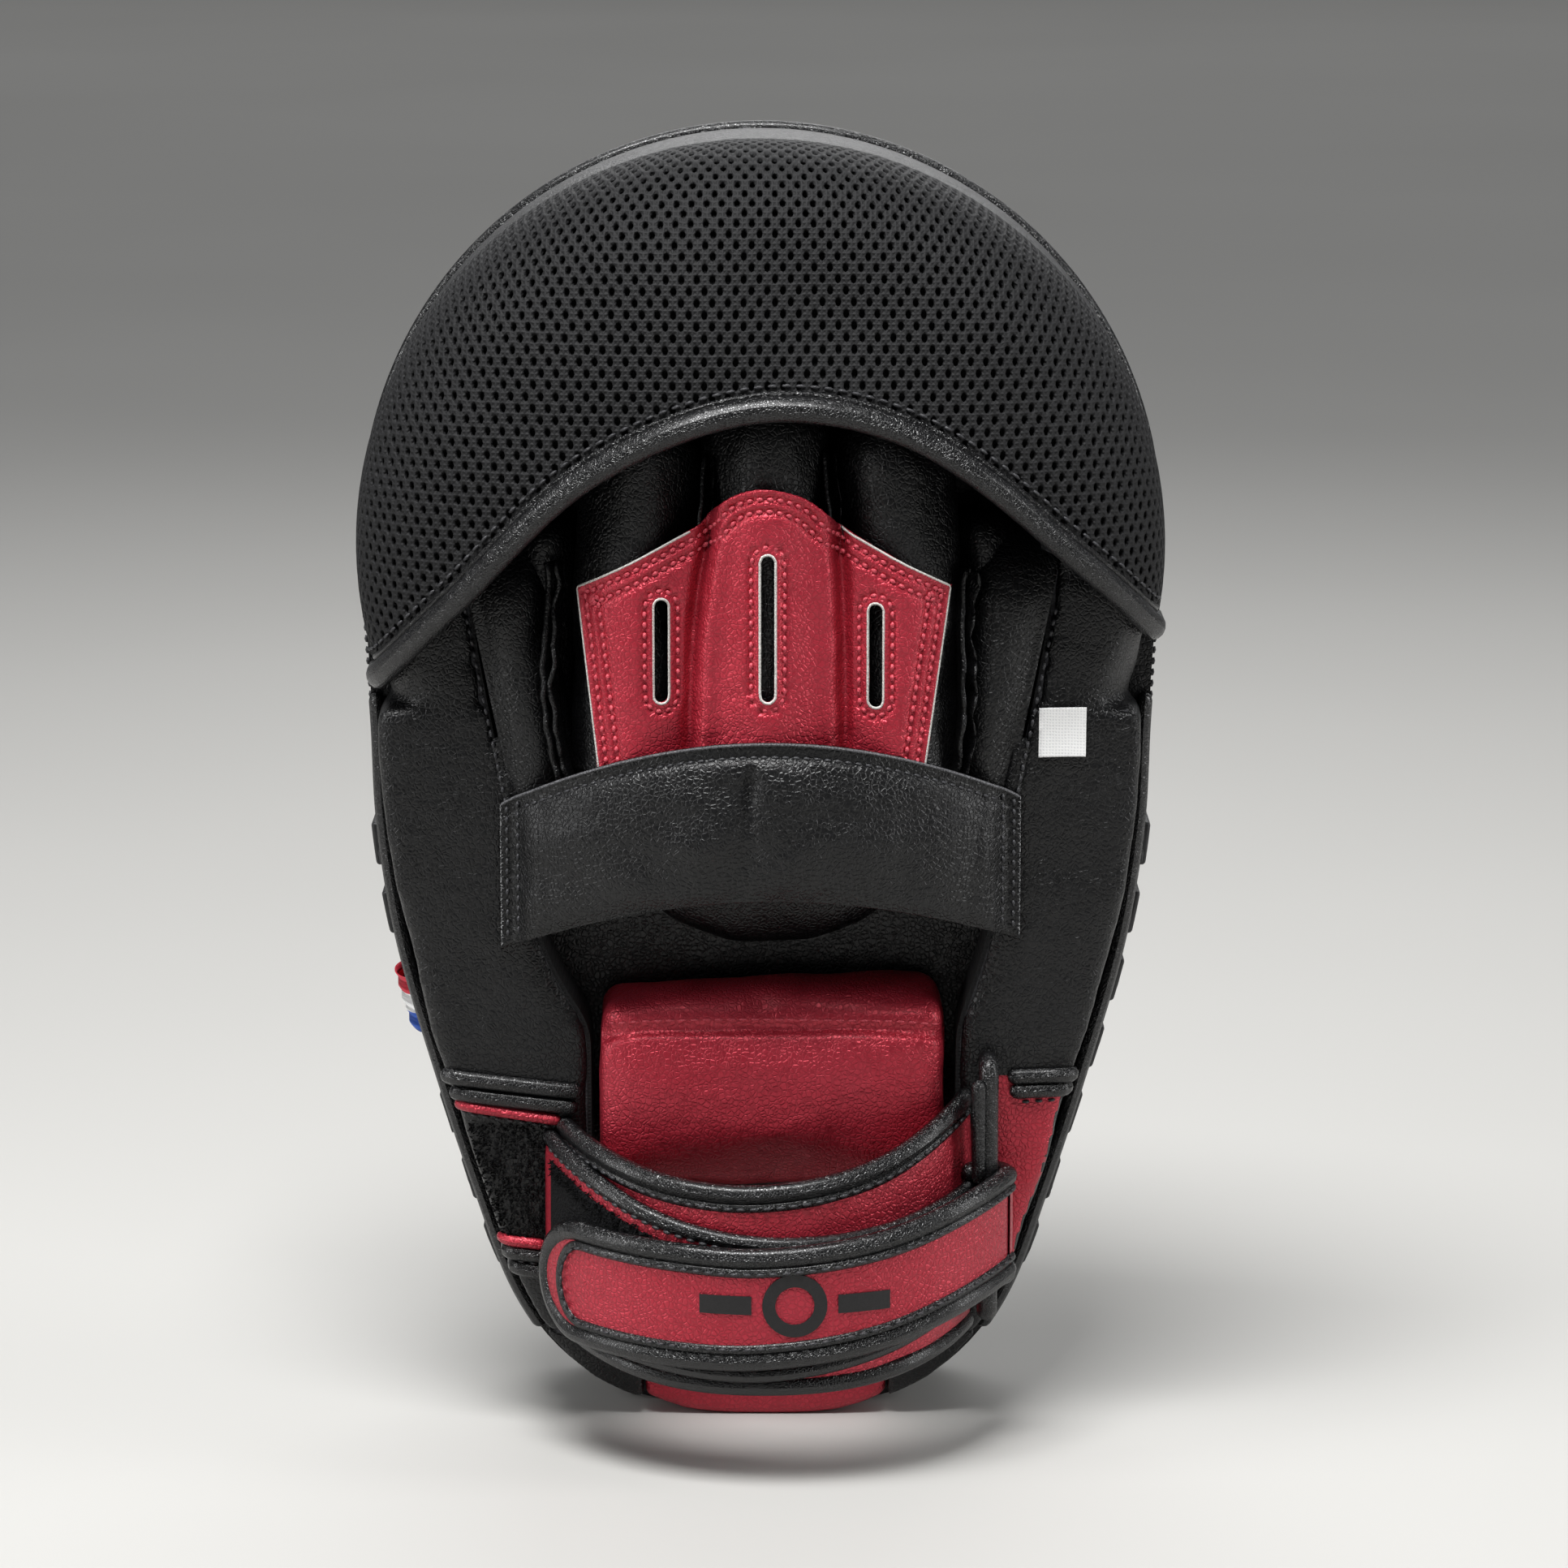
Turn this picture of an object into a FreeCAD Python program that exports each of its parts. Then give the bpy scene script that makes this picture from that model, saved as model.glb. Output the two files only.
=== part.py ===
"""Focus mitt for boxing: the pad, its glove for the right hand and its wrist strap, as separate pieces.

Millimetres. +Z points to the fingertips, -Y to the hand side and +Y to the striking side.
The origin is on the floor under the middle of the heel's flat foot, and the mitt stands on its heel.
A depth is measured through the mitt from the plane under the palm: positive is towards the strike.
"""
import FreeCAD, Part
import math
import os

Vector = FreeCAD.Vector

# ---- pad
TOP_RADIUS = 94.5            # the round finger end, seen from the hand side
TOP_CENTRE_Z = 211.5
TOP_ARC_BELOW = 10.0         # degrees that the round end runs on below its centre
SIDE_POINTS = [(91.6, 170), (90.6, 146), (86.5, 118), (78.0, 86), (69.0, 56), (59.0, 28), (44.0, 9)]
FOOT_HALF = 20.0             # half the flat that the heel stands on
PAD_THICK = 34.0
LEATHER = 1.4
BEND_RADIUS = 1300.0         # the pad is part of a large cylinder, hollow on the striking side
BEND_CENTRE_Z = 153.0
FOAM_DEPTHS = {"base_foam": (2.5, 11.0), "core_foam": (11.0, 22.0), "impact_foam": (22.0, 32.6)}
BOARD_DEPTHS = (1.0, 2.5)
WELT = 3.0
BAND_SPLIT_Z = 147.0
HEEL_LEFT, HEEL_RIGHT = -28.0, 30.0
HEEL_PAD_TOP, HEEL_PAD_DEEP = 22.0, 12.0
HEEL_GAP = 0.3
HEEL_BAND_TOP = 60.0         # above the heel's curved foot between its left and right ends
WELT_FOOT_Z = 1.0

# ---- frame round the hand
FRAME_INSET = 5.0
FRAME_FOOT_Z = 23.0
FRAME_THICK = 18.2
COVER = 1.2
HOOD_START_Z = 176.0
COVER_TOP_Z = 206.0
CUFF_TOP_Z = 89.0
LINING_THICK = 1.0
LINING_TOP_Z = 264.0
WELL_LEFT_SIDE = [(-41, 95), (-45.5, 107), (-52.5, 122), (-57.5, 144), (-66.5, 190)]
WELL_RIGHT_SIDE = [(47, 95), (49.5, 107), (54, 122), (57.5, 144), (66.5, 190)]
WELL_TOP_Z = 268.0

# ---- hood
HOOD_PROFILE = [(94.5, 14), (94.5, -2), (90.5, -14.5), (77, -27), (53, -35.5), (26, -39.2), (0, -40)]
HOOD_THICK = 3.0
HOOD_LINING = 1.0
HOOD_CLEAR = 0.4             # between the hood's lining and the frame under it
ARCH = [(-97, 176.5), (-90.5, 186), (-72, 206), (-40, 237), (0, 252.3), (38, 244.8), (77, 214), (93, 197.5),
        (98, 190)]
BINDING_WIDE = 7.0
BINDING_PROUD = 0.6

# ---- glove: centre x, lowest z, straight length, radius, depth of the axis
STALLS = {
    "thumb_stall": (-51.0, 162.0, 52.0, 7.8, 9.6),
    "index_stall": (-28.8, 161.0, 72.0, 14.4, 16.4),
    "middle_stall": (1.5, 161.0, 79.0, 15.0, 19.0),
    "ring_stall": (31.8, 161.0, 72.0, 14.4, 16.4),
    "little_stall": (52.6, 166.0, 50.0, 7.1, 9.6),
}
STALL_WALL = 1.4
PATCH_DRAPE = [(-43.5, -23.5), (-36, -29.5), (-28, -31.8), (-14.5, -31), (1.5, -36), (17.5, -31), (31, -31.8),
               (39, -29.5), (46.5, -23.5)]
PATCH_THICK = 1.2
PATCH_Z = (150.0, 250.0)     # the draped sheet that the patch is cut from
PATCH_OUTLINE = [(-37, 161), (-42.3, 207), (-13, 222.5), (-7, 228.8), (1.5, 231.2), (10, 228.8), (17.8, 222),
                 (44, 207.5), (37.5, 161)]
PATCH_SLOTS = [(-22.6, 181, 205), (1.8, 182, 216), (26.5, 180, 204)]
SLOT_WIDE = 3.0
BALL_CENTRE_X, BALL_CENTRE_Z = 2.0, 138.0
BALL_HALVES = (34.0, 13.0, 21.5)
PILLOW_BOX = (-39.5, 44.9, 62.0, 108.0)
PILLOW_DEEP = 24.0
PILLOW_ROUND = 7.0
SIDE_SHEETS = {
    "glove_side_left": [(-70, -18.35), (-62, -18.6), (-57, -18.7), (-51, -17.9), (-46.2, -16.3)],
    "glove_side_right": [(48.4, -15.9), (52.6, -17.4), (58, -18.5), (63, -18.6), (70, -18.35)],
}
SIDE_SHEET_THICK = 1.2
SIDE_SHEET_Z = (157.0, 207.0)
SEAM_LOW, SEAM_HIGH = (57.2, 155.0), (66.0, 199.0)   # the side seams, where the glove meets the cover
SEAM_WIDE = 3.2
SEAM_PROUD = 2.0
SEAM_Z = (157.5, 198.0)
COVER_LIP_Z = 150.0          # from here up the cover laps over the hollow, to the seams
FLANGE_THICK = 1.4
FLANGES = [(-44.9, 176, 226, -24, -13), (47.0, 176, 226, -24, -13),    # x, two heights, two Y
           (-13.6, 226, 238, -31, -26), (16.8, 226, 238, -31, -26)]
STALL_GAP = 0.1

# ---- band over the knuckles
KNUCKLE_HALF = 60.0
KNUCKLE_TOP = (152.5, 173.0, 154.5)      # left, middle, right
KNUCKLE_FOOT = (118.5, 136.5, 121.0)
KNUCKLE_END_Y, KNUCKLE_MID_Y = -18.6, -39.2
KNUCKLE_PAD = 2.2
KNUCKLE_SKIN = 1.2

# ---- wrist bands: rings about one upright axis
WRIST_AXIS = (1.0, 0.0)
GUARD_RINGS = (48.5, 51.5)
INNER_RINGS = (51.8, 54.8)
PILE = 0.4
STRAP_THICK = 3.0
PIPING_PROUD = 0.7
PIPING_WIDE = 3.4
ROOT_ANGLE = 80.0            # the bands run on to here, and end where they meet the cuff
GUARD_TOP = [(-64, 84), (-50, 79), (-25, 72), (0, 70.5), (28, 75), (51, 86), (66, 94)]
GUARD_FOOT = [(-64, 33), (-50, 27.5), (-25, 22), (0, 21), (28, 22), (51, 27), (66, 33)]
INNER_TOP = [(-64, 81), (-50, 75), (-25, 64), (0, 59.4), (28, 60), (52, 65), (70, 70)]
INNER_FOOT = [(-64, 36), (-50, 31.4), (-25, 26.5), (0, 25), (28, 29), (52, 37), (70, 42)]
FLAP_TOP = [(-42, 58.5), (-20, 58), (0, 57.7), (28, 60.5), (52, 66.5), (78, 74)]
FLAP_FOOT = [(-42, 29.5), (-20, 29), (0, 29.5), (28, 33), (52, 39.5), (78, 47)]
FLAP_END = (-52.0, 43.5)
BAR_X = 53.5
BAR_RADIUS = 2.4
BAR_FOOT_Z, BAR_TOP_Z = 32.5, 92.0
BAR_PLAY = 0.5
FOLD_FOOT_Z, FOLD_TOP_Z = 42.0, 67.0
FLAP_LEFT_RING, FLAP_MID_RING = 57.6, 57.8   # middle of the flap, from the wrist axis
FLAP_LEFT_ANGLE = -60.0
FLAP_START_GAP = 0.7         # degrees between the fold and the flap
TIP_SPLIT_X = -20.0
SPLIT_GAP = 0.3
EMBLEM_THICK = 0.3
EMBLEM_X, EMBLEM_Z = 8.0, 45.0
EMBLEM_RING = (7.5, 4.5)
EMBLEM_BAR_LONG, EMBLEM_BAR_TALL, EMBLEM_BAR_START = 12.0, 4.4, 10.0

# ---- small trim
LUG_COUNT = 7
LUG_FIRST_Z, LUG_PITCH, LUG_LONG = 30.0, 17.0, 10.5
LUG_PROUD = 2.4
LUG_DEPTHS = (8.0, 27.0)
LUG_SLANT = 5.0
RIBBON_Z = (93.0, 107.0)
RIBBON_DEPTHS = (9.0, 25.0)
LABEL_BOX = (66.8, 77.3, 165.5, 177.5)
LABEL_THICK = 0.5
CUFF_PIPING_WIDE, CUFF_PIPING_PROUD = 4.0, 2.0
CUFF_BAR_ROOM = (44.0, 61.0)             # the cuff has no piping where the keeper loop is sewn on
RED_PIPING = ((-45.0, 80.5), (-52.5, 43.5))   # right end and lowest z of each
RED_PIPING_WIDE = 2.4
CUFF_PILE = (-52.5, 46.2, 80.2)
CUFF_PILE_THICK = 1.0

REACH = 150.0                # further than the mitt reaches to any side
BELOW, ABOVE = -20.0, 330.0  # under the heel and over the fingertips
INSET_POINTS = 24            # points along each curved edge of an inset outline


def bend(z, depth=0.0):
    """Y of the bent layer at that depth and height."""
    return BEND_RADIUS - math.sqrt((BEND_RADIUS - depth) ** 2 - (z - BEND_CENTRE_Z) ** 2)


def spline(points, start=None, end=None):
    """A smooth edge through points of the XZ plane, or through vectors."""
    through = [p if isinstance(p, Vector) else Vector(p[0], 0, p[1]) for p in points]
    curve = Part.BSplineCurve()
    if start is None:
        curve.interpolate(Points=through)
    else:
        curve.interpolate(Points=through, InitialTangent=start, FinalTangent=end)
    return curve.toShape()


def arc(a, b, c):
    """An edge through three points of the XZ plane, or three vectors."""
    a, b, c = (p if isinstance(p, Vector) else Vector(p[0], 0, p[1]) for p in (a, b, c))
    return Part.Arc(a, b, c).toShape()


def line(a, b):
    a, b = (p if isinstance(p, Vector) else Vector(p[0], 0, p[1]) for p in (a, b))
    return Part.makeLine(a, b)


def loop(*edges):
    """A closed wire from edges in any order."""
    return Part.Wire(Part.__sortEdges__(list(edges)))


def pad_outline():
    """The mitt seen from the hand side: a round top, tapering sides and a flat heel."""
    low = math.radians(-TOP_ARC_BELOW)
    right = (TOP_RADIUS * math.cos(low), TOP_CENTRE_Z + TOP_RADIUS * math.sin(low))
    left = (-right[0], right[1])
    start = Vector(math.sin(low), 0, -math.cos(low))
    points = [right] + SIDE_POINTS + [(FOOT_HALF, 0)]
    right_side = spline(points, start, Vector(-1, 0, 0))
    mirrored = [(-x, z) for x, z in points]
    left_side = spline(mirrored, Vector(-start.x, 0, start.z), Vector(1, 0, 0))
    top = arc(right, (0, TOP_CENTRE_Z + TOP_RADIUS), left)
    return loop(top, right_side, left_side, line((-FOOT_HALF, 0), (FOOT_HALF, 0)))


def inset(wire, amount):
    """The wire moved inward, or outward where amount is negative, with plain splines for its curves."""
    edges = []
    for e in wire.makeOffset2D(-amount).Edges:
        if isinstance(e.Curve, (Part.Line, Part.Circle)):
            edges.append(e)
            continue
        first, last = e.ParameterRange
        edges.append(spline(e.discretize(Number=INSET_POINTS), e.tangentAt(first), e.tangentAt(last)))
    return loop(*edges)


def prism(wire, low=-REACH, high=REACH):
    """A closed XZ wire pushed along Y."""
    face = Part.Face(wire)
    face.translate(Vector(0, low, 0))
    return face.extrude(Vector(0, high - low, 0))


def box(x0, x1, z0, z1, y0=-REACH, y1=REACH):
    return Part.makeBox(x1 - x0, y1 - y0, z1 - z0, Vector(x0, y0, z0))


def slab(near, far):
    """Everything between two depths of the bent pad."""
    def at(depth, z):
        return Vector(-REACH, bend(z, depth), z)

    hand_side = arc(at(near, BELOW), at(near, BEND_CENTRE_Z), at(near, ABOVE))
    strike_side = arc(at(far, BELOW), at(far, BEND_CENTRE_Z), at(far, ABOVE))
    ends = [line(at(near, z), at(far, z)) for z in (BELOW, ABOVE)]
    return Part.Face(loop(hand_side, strike_side, *ends)).extrude(Vector(2 * REACH, 0, 0))


def layer(wire, near, far):
    """The part of the outline between two depths."""
    return prism(wire).common(slab(near, far))


def ring_layer(outer, inner, near, far):
    return layer(outer, near, far).cut(prism(inner))


def well_outline():
    """The hollow for the hand: narrow at the wrist, wide over the knuckles, round over the fingers."""
    left, right = WELL_LEFT_SIDE, WELL_RIGHT_SIDE
    top = arc(left[-1], (0, WELL_TOP_Z), right[-1])
    circle = top.Curve
    lean = (circle.Center.z - left[-1][1]) / (circle.Center.x - left[-1][0])
    up = Vector(0, 0, 1)
    return loop(top,
                spline(left, up, Vector(-lean, 0, 1)),
                spline(right, up, Vector(lean, 0, 1)),
                line((left[0][0], BELOW), left[0]),
                line((right[0][0], BELOW), right[0]),
                line((left[0][0], BELOW), (right[0][0], BELOW)))


def dome(shrink):
    """The room under a turned dome that follows the round top, taken in by shrink."""
    moved = []
    last = len(HOOD_PROFILE) - 1
    for i, (r, y) in enumerate(HOOD_PROFILE):
        before = HOOD_PROFILE[max(0, i - 1)]
        after = HOOD_PROFILE[min(last, i + 1)]
        run = Vector(after[0] - before[0], after[1] - before[1], 0)
        if i == last:
            run = Vector(-1, 0, 0)
        if i == 0:
            run = Vector(0, -1, 0)
        run.normalize()
        moved.append(Vector(r + run.y * shrink, y - run.x * shrink, 0))
    top = moved[-1]
    foot = Vector(0, moved[0].y, 0)
    side = spline(moved, Vector(0, -1, 0), Vector(-1, 0, 0))
    face = Part.Face(loop(side, line(top, foot), line(foot, moved[0])))
    turned = face.revolve(Vector(0, 0, 0), Vector(0, 1, 0), 360)
    turned.translate(Vector(0, 0, TOP_CENTRE_Z))
    return turned


def above_arch(drop=0.0):
    """Everything above the hood's lower edge."""
    points = [(x, z - drop) for x, z in ARCH]
    first, last = points[0], points[-1]
    return prism(loop(spline(points), line(first, (first[0], ABOVE)), line((first[0], ABOVE), (last[0], ABOVE)),
                      line((last[0], ABOVE), last)))


def solid_only(shape):
    """The solids of a shape, without the loose faces and edges that a cut can leave."""
    return Part.Compound(shape.Solids)


def stall(x, z, length, radius, deep, wall=STALL_WALL):
    """A finger stall: a tube closed by a round tip and open at its foot."""
    base = Vector(x, -deep, z)
    tip = Vector(x, -deep, z + length)
    up = Vector(0, 0, 1)
    outer = Part.makeCylinder(radius, length, base, up).fuse(Part.makeSphere(radius, tip))
    within = Part.makeCylinder(radius - wall, length + 1, base - up, up)
    return outer.cut(within.fuse(Part.makeSphere(radius - wall, tip)))


def drape_sheet(points, thick, low, high):
    """An upright sheet with its inner side through points of the XY plane, between two heights."""
    near = [Vector(x, y, low) for x, y in points]
    far = [Vector(x, y - thick, low) for x, y in points]
    face = Part.Face(loop(spline(near), spline(far), line(near[0], far[0]), line(near[-1], far[-1])))
    return face.extrude(Vector(0, 0, high - low))


def seam_x(z):
    """Distance from the middle to the side seams at a height."""
    slope = (SEAM_HIGH[0] - SEAM_LOW[0]) / (SEAM_HIGH[1] - SEAM_LOW[1])
    return SEAM_LOW[0] + slope * (z - SEAM_LOW[1])


def beside_seam(sign, low, high, wide=REACH):
    """The strip that runs up outside one side seam, between two heights."""
    return prism(loop(line((sign * seam_x(low), low), (sign * seam_x(high), high)),
                      line((sign * seam_x(high), high), (sign * (seam_x(high) + wide), high)),
                      line((sign * (seam_x(high) + wide), high), (sign * (seam_x(low) + wide), low)),
                      line((sign * (seam_x(low) + wide), low), (sign * seam_x(low), low))))


def slot(x, low, high):
    half = SLOT_WIDE / 2
    return prism(loop(line((x - half, low + half), (x - half, high - half)),
                      arc((x - half, high - half), (x, high), (x + half, high - half)),
                      line((x + half, high - half), (x + half, low + half)),
                      arc((x + half, low + half), (x, low), (x - half, low + half))))


def patch_prism():
    """The vent patch from the hand side: five straight sides and a round top, with three slots."""
    p = PATCH_OUTLINE
    wire = loop(line(p[0], p[1]), line(p[1], p[2]), spline(p[2:7]), line(p[6], p[7]), line(p[7], p[8]),
                line(p[8], p[0]))
    cut = prism(wire)
    for x, low, high in PATCH_SLOTS:
        cut = cut.cut(slot(x, low, high))
    return cut


def half_ellipsoid(centre, halves):
    """The hand side's half of an ellipsoid."""
    ball = Part.makeSphere(1.0, Vector(0, 0, 0), Vector(0, -1, 0), 0, 90, 360)
    grow = FreeCAD.Matrix()
    grow.scale(Vector(*halves))
    grown = ball.transformGeometry(grow)
    grown.translate(centre)
    return grown


def pillow():
    x0, x1, z0, z1 = PILLOW_BOX
    block = box(x0, x1, z0, z1, -PILLOW_DEEP, PILLOW_DEEP / 2)
    return block.makeFillet(PILLOW_ROUND, block.Edges).common(slab(-REACH, 0))


def circle_through(a, b, c):
    """Centre and radius of the circle through three points of the XY plane."""
    circle = arc(*(Vector(x, y, 0) for x, y in (a, b, c))).Curve
    return (circle.Center.x, circle.Center.y), circle.Radius


def on_ring(axis, radius, degrees):
    """A point of a ring about an upright axis. 0 degrees faces the hand side, and 90 is to the right."""
    a = math.radians(degrees)
    return Vector(axis[0] + radius * math.sin(a), axis[1] - radius * math.cos(a), 0)


def ring_angle(axis, radius, x):
    return math.degrees(math.asin((x - axis[0]) / radius))


def ring_strip(axis, inner, outer, start, end):
    """An upright strip bent round an axis, from one angle to the other."""
    mid = (start + end) / 2
    edges = [
        arc(*(on_ring(axis, inner, a) for a in (start, mid, end))),
        arc(*(on_ring(axis, outer, a) for a in (start, mid, end))),
        line(on_ring(axis, inner, start), on_ring(axis, outer, start)),
        line(on_ring(axis, inner, end), on_ring(axis, outer, end)),
    ]
    return Part.Face(loop(*edges)).extrude(Vector(0, 0, 2 * CUFF_TOP_Z))


def knuckle_ring():
    axis, radius = circle_through((-KNUCKLE_HALF, KNUCKLE_END_Y), (0, KNUCKLE_MID_Y),
                                  (KNUCKLE_HALF, KNUCKLE_END_Y))
    return axis, radius


def knuckle_strip(near, far):
    axis, radius = knuckle_ring()
    end = ring_angle(axis, radius, KNUCKLE_HALF)
    strip = ring_strip(axis, radius + near, radius + far, -end, end)
    k = KNUCKLE_HALF + 4
    top = arc(*zip((-k, 0, k), KNUCKLE_TOP))
    foot = arc(*zip((-k, 0, k), KNUCKLE_FOOT))
    sides = [line((s * k, KNUCKLE_TOP[1 + s]), (s * k, KNUCKLE_FOOT[1 + s])) for s in (-1, 1)]
    return strip.common(prism(loop(top, foot, *sides)))


def band_outline(top, foot):
    """A long band seen from the hand side, with straight ends."""
    return loop(spline(top), spline(foot), line(top[0], foot[0]), line(top[-1], foot[-1]))


def flap_outline():
    """The strap's free run, with a round end on the left."""
    end = arc(FLAP_TOP[0], FLAP_END, FLAP_FOOT[0])
    return loop(spline(FLAP_TOP), spline(FLAP_FOOT), end, line(FLAP_TOP[-1], FLAP_FOOT[-1]))


def band_and_piping(outline, strip, thick_strip):
    """A bent band and the piping along its edges, which meet face to face."""
    middle = prism(inset(outline, PIPING_WIDE))
    return strip.common(middle), thick_strip.common(prism(outline)).cut(middle)


def bar_centre():
    ring = INNER_RINGS[1] + BAR_PLAY + BAR_RADIUS
    angle = ring_angle(WRIST_AXIS, ring, BAR_X)
    return on_ring(WRIST_AXIS, ring, angle), ring, angle


def flap_ring():
    """Axis and middle radius of the free run: it lifts over the bar and lies close at its tip."""
    _, bar_ring, bar_angle = bar_centre()
    over_bar = bar_ring + BAR_RADIUS + BAR_PLAY + STRAP_THICK / 2
    points = [on_ring(WRIST_AXIS, FLAP_LEFT_RING, FLAP_LEFT_ANGLE), on_ring(WRIST_AXIS, FLAP_MID_RING, 0),
              on_ring(WRIST_AXIS, over_bar, bar_angle)]
    axis, radius = circle_through(*[(p.x, p.y) for p in points])
    return axis, radius, ring_angle(axis, radius, points[2].x)


def fold():
    """The half turn that the strap makes round the bar."""
    centre, _, angle = bar_centre()
    ring = (BAR_RADIUS + BAR_PLAY, BAR_RADIUS + BAR_PLAY + STRAP_THICK)
    turned = ring_strip((centre.x, centre.y), ring[0], ring[1], angle, angle + 180)
    return turned.common(box(-REACH, REACH, FOLD_FOOT_Z, FOLD_TOP_Z))


def keeper():
    """A stiff piped loop: an upright bar and two legs that are sewn to the cuff."""
    centre, _, _ = bar_centre()
    tall = BAR_TOP_Z - BAR_FOOT_Z
    bar = Part.makeCylinder(BAR_RADIUS, tall, Vector(centre.x, centre.y, BAR_FOOT_Z))
    for z in (BAR_FOOT_Z, BAR_TOP_Z):
        leg = Part.makeCylinder(BAR_RADIUS, -FRAME_THICK - centre.y, Vector(centre.x, centre.y, z),
                                Vector(0, 1, 0))
        bar = bar.fuse(leg).fuse(Part.makeSphere(BAR_RADIUS, Vector(centre.x, centre.y, z)))
    return bar.cut(slab(-FRAME_THICK, REACH))


def emblem():
    """A plain mark: a ring with a bar on each side of it."""
    axis, radius, _ = flap_ring()
    centre = Vector(EMBLEM_X, 0, EMBLEM_Z)
    outer, inner = (prism(Part.Wire(Part.makeCircle(r, centre, Vector(0, 1, 0)))) for r in EMBLEM_RING)
    mark = outer.cut(inner)
    tall = EMBLEM_BAR_TALL / 2
    for left in (EMBLEM_X - EMBLEM_BAR_START - EMBLEM_BAR_LONG, EMBLEM_X + EMBLEM_BAR_START):
        mark = mark.fuse(box(left, left + EMBLEM_BAR_LONG, EMBLEM_Z - tall, EMBLEM_Z + tall))
    face = radius + STRAP_THICK / 2
    return ring_strip(axis, face, face + EMBLEM_THICK, -40, 60).common(mark)


def side_lugs(outline, sign):
    """Raised bars in a row down one side of the pad."""
    ring = ring_layer(inset(outline, -LUG_PROUD), outline, *LUG_DEPTHS)
    lugs = []
    for i in range(LUG_COUNT):
        z = LUG_FIRST_Z + i * LUG_PITCH
        if sign < 0 and z < RIBBON_Z[1] and z + LUG_LONG + LUG_SLANT > RIBBON_Z[0]:
            continue
        near, far = sign * 20.0, sign * 120.0
        window = loop(line((near, z + LUG_SLANT), (far, z)), line((far, z), (far, z + LUG_LONG)),
                      line((far, z + LUG_LONG), (near, z + LUG_LONG + LUG_SLANT)),
                      line((near, z + LUG_LONG + LUG_SLANT), (near, z + LUG_SLANT)))
        lugs.extend(ring.common(prism(window)).Solids)
    return Part.Compound(lugs)


def save(name, shape):
    """Writes one node, after checking each of its solids."""
    solids = shape.Solids
    if not solids:
        raise ValueError(name + " has no solid")
    for s in solids:
        if not s.isValid() or s.Volume < 1.0:
            raise ValueError(name + " has a bad solid of volume %.2f" % s.Volume)
    whole = solids[0] if len(solids) == 1 else Part.Compound(solids)
    whole.exportStep("parts/" + name + ".step")
    print("%-22s %2d solid(s) %9.0f mm3" % (name, len(solids), sum(s.Volume for s in solids)))


def make_pad():
    """The striking pad: cover, foams, board, lining, bands round its side and welts."""
    outline = pad_outline()
    core = inset(outline, LEATHER)
    face_near = PAD_THICK - LEATHER
    save("face_cover", layer(outline, face_near, PAD_THICK))
    for name, (near, far) in FOAM_DEPTHS.items():
        save(name, layer(core, near, far))
    save("back_board", layer(core, *BOARD_DEPTHS))
    save("palm_lining", layer(outline, 0, BOARD_DEPTHS[0]))
    band = ring_layer(outline, core, BOARD_DEPTHS[0], face_near)
    save("upper_side_band", band.common(box(-REACH, REACH, BAND_SPLIT_Z, ABOVE)))
    save("left_side_band", band.common(box(-REACH, HEEL_LEFT, BELOW, BAND_SPLIT_Z)))
    save("right_side_band", band.common(box(HEEL_RIGHT, REACH, BELOW, BAND_SPLIT_Z)))
    save("heel_side_band", band.common(box(HEEL_LEFT, HEEL_RIGHT, BELOW, HEEL_BAND_TOP)))
    above_foot = box(-REACH, REACH, WELT_FOOT_Z, ABOVE)
    welt = ring_layer(inset(outline, -WELT / 2), outline, PAD_THICK - WELT, PAD_THICK)
    save("face_welt", welt.common(above_foot))
    rear = ring_layer(outline, inset(outline, WELT + 0.5), -WELT, 0)
    save("rear_welt", rear.common(box(-REACH, REACH, HEEL_PAD_TOP, HOOD_START_Z)))
    heel = layer(outline, -HEEL_PAD_DEEP, 0)
    save("heel_pad", heel.common(box(HEEL_LEFT, HEEL_RIGHT, BELOW, HEEL_PAD_TOP)))
    corners = layer(inset(outline, WELT), -HEEL_PAD_DEEP, 0)
    middle = box(HEEL_LEFT - HEEL_GAP, HEEL_RIGHT + HEEL_GAP, BELOW, HEEL_BAND_TOP)
    save("heel_corners", corners.common(box(-REACH, REACH, BELOW, HEEL_PAD_TOP)).cut(middle))
    save("left_side_lugs", side_lugs(outline, -1))
    save("right_side_lugs", side_lugs(outline, 1))
    ribbon = ring_layer(inset(outline, -1.0), outline, *RIBBON_DEPTHS)
    save("side_ribbon", ribbon.common(box(-REACH, 0, *RIBBON_Z)))


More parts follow.
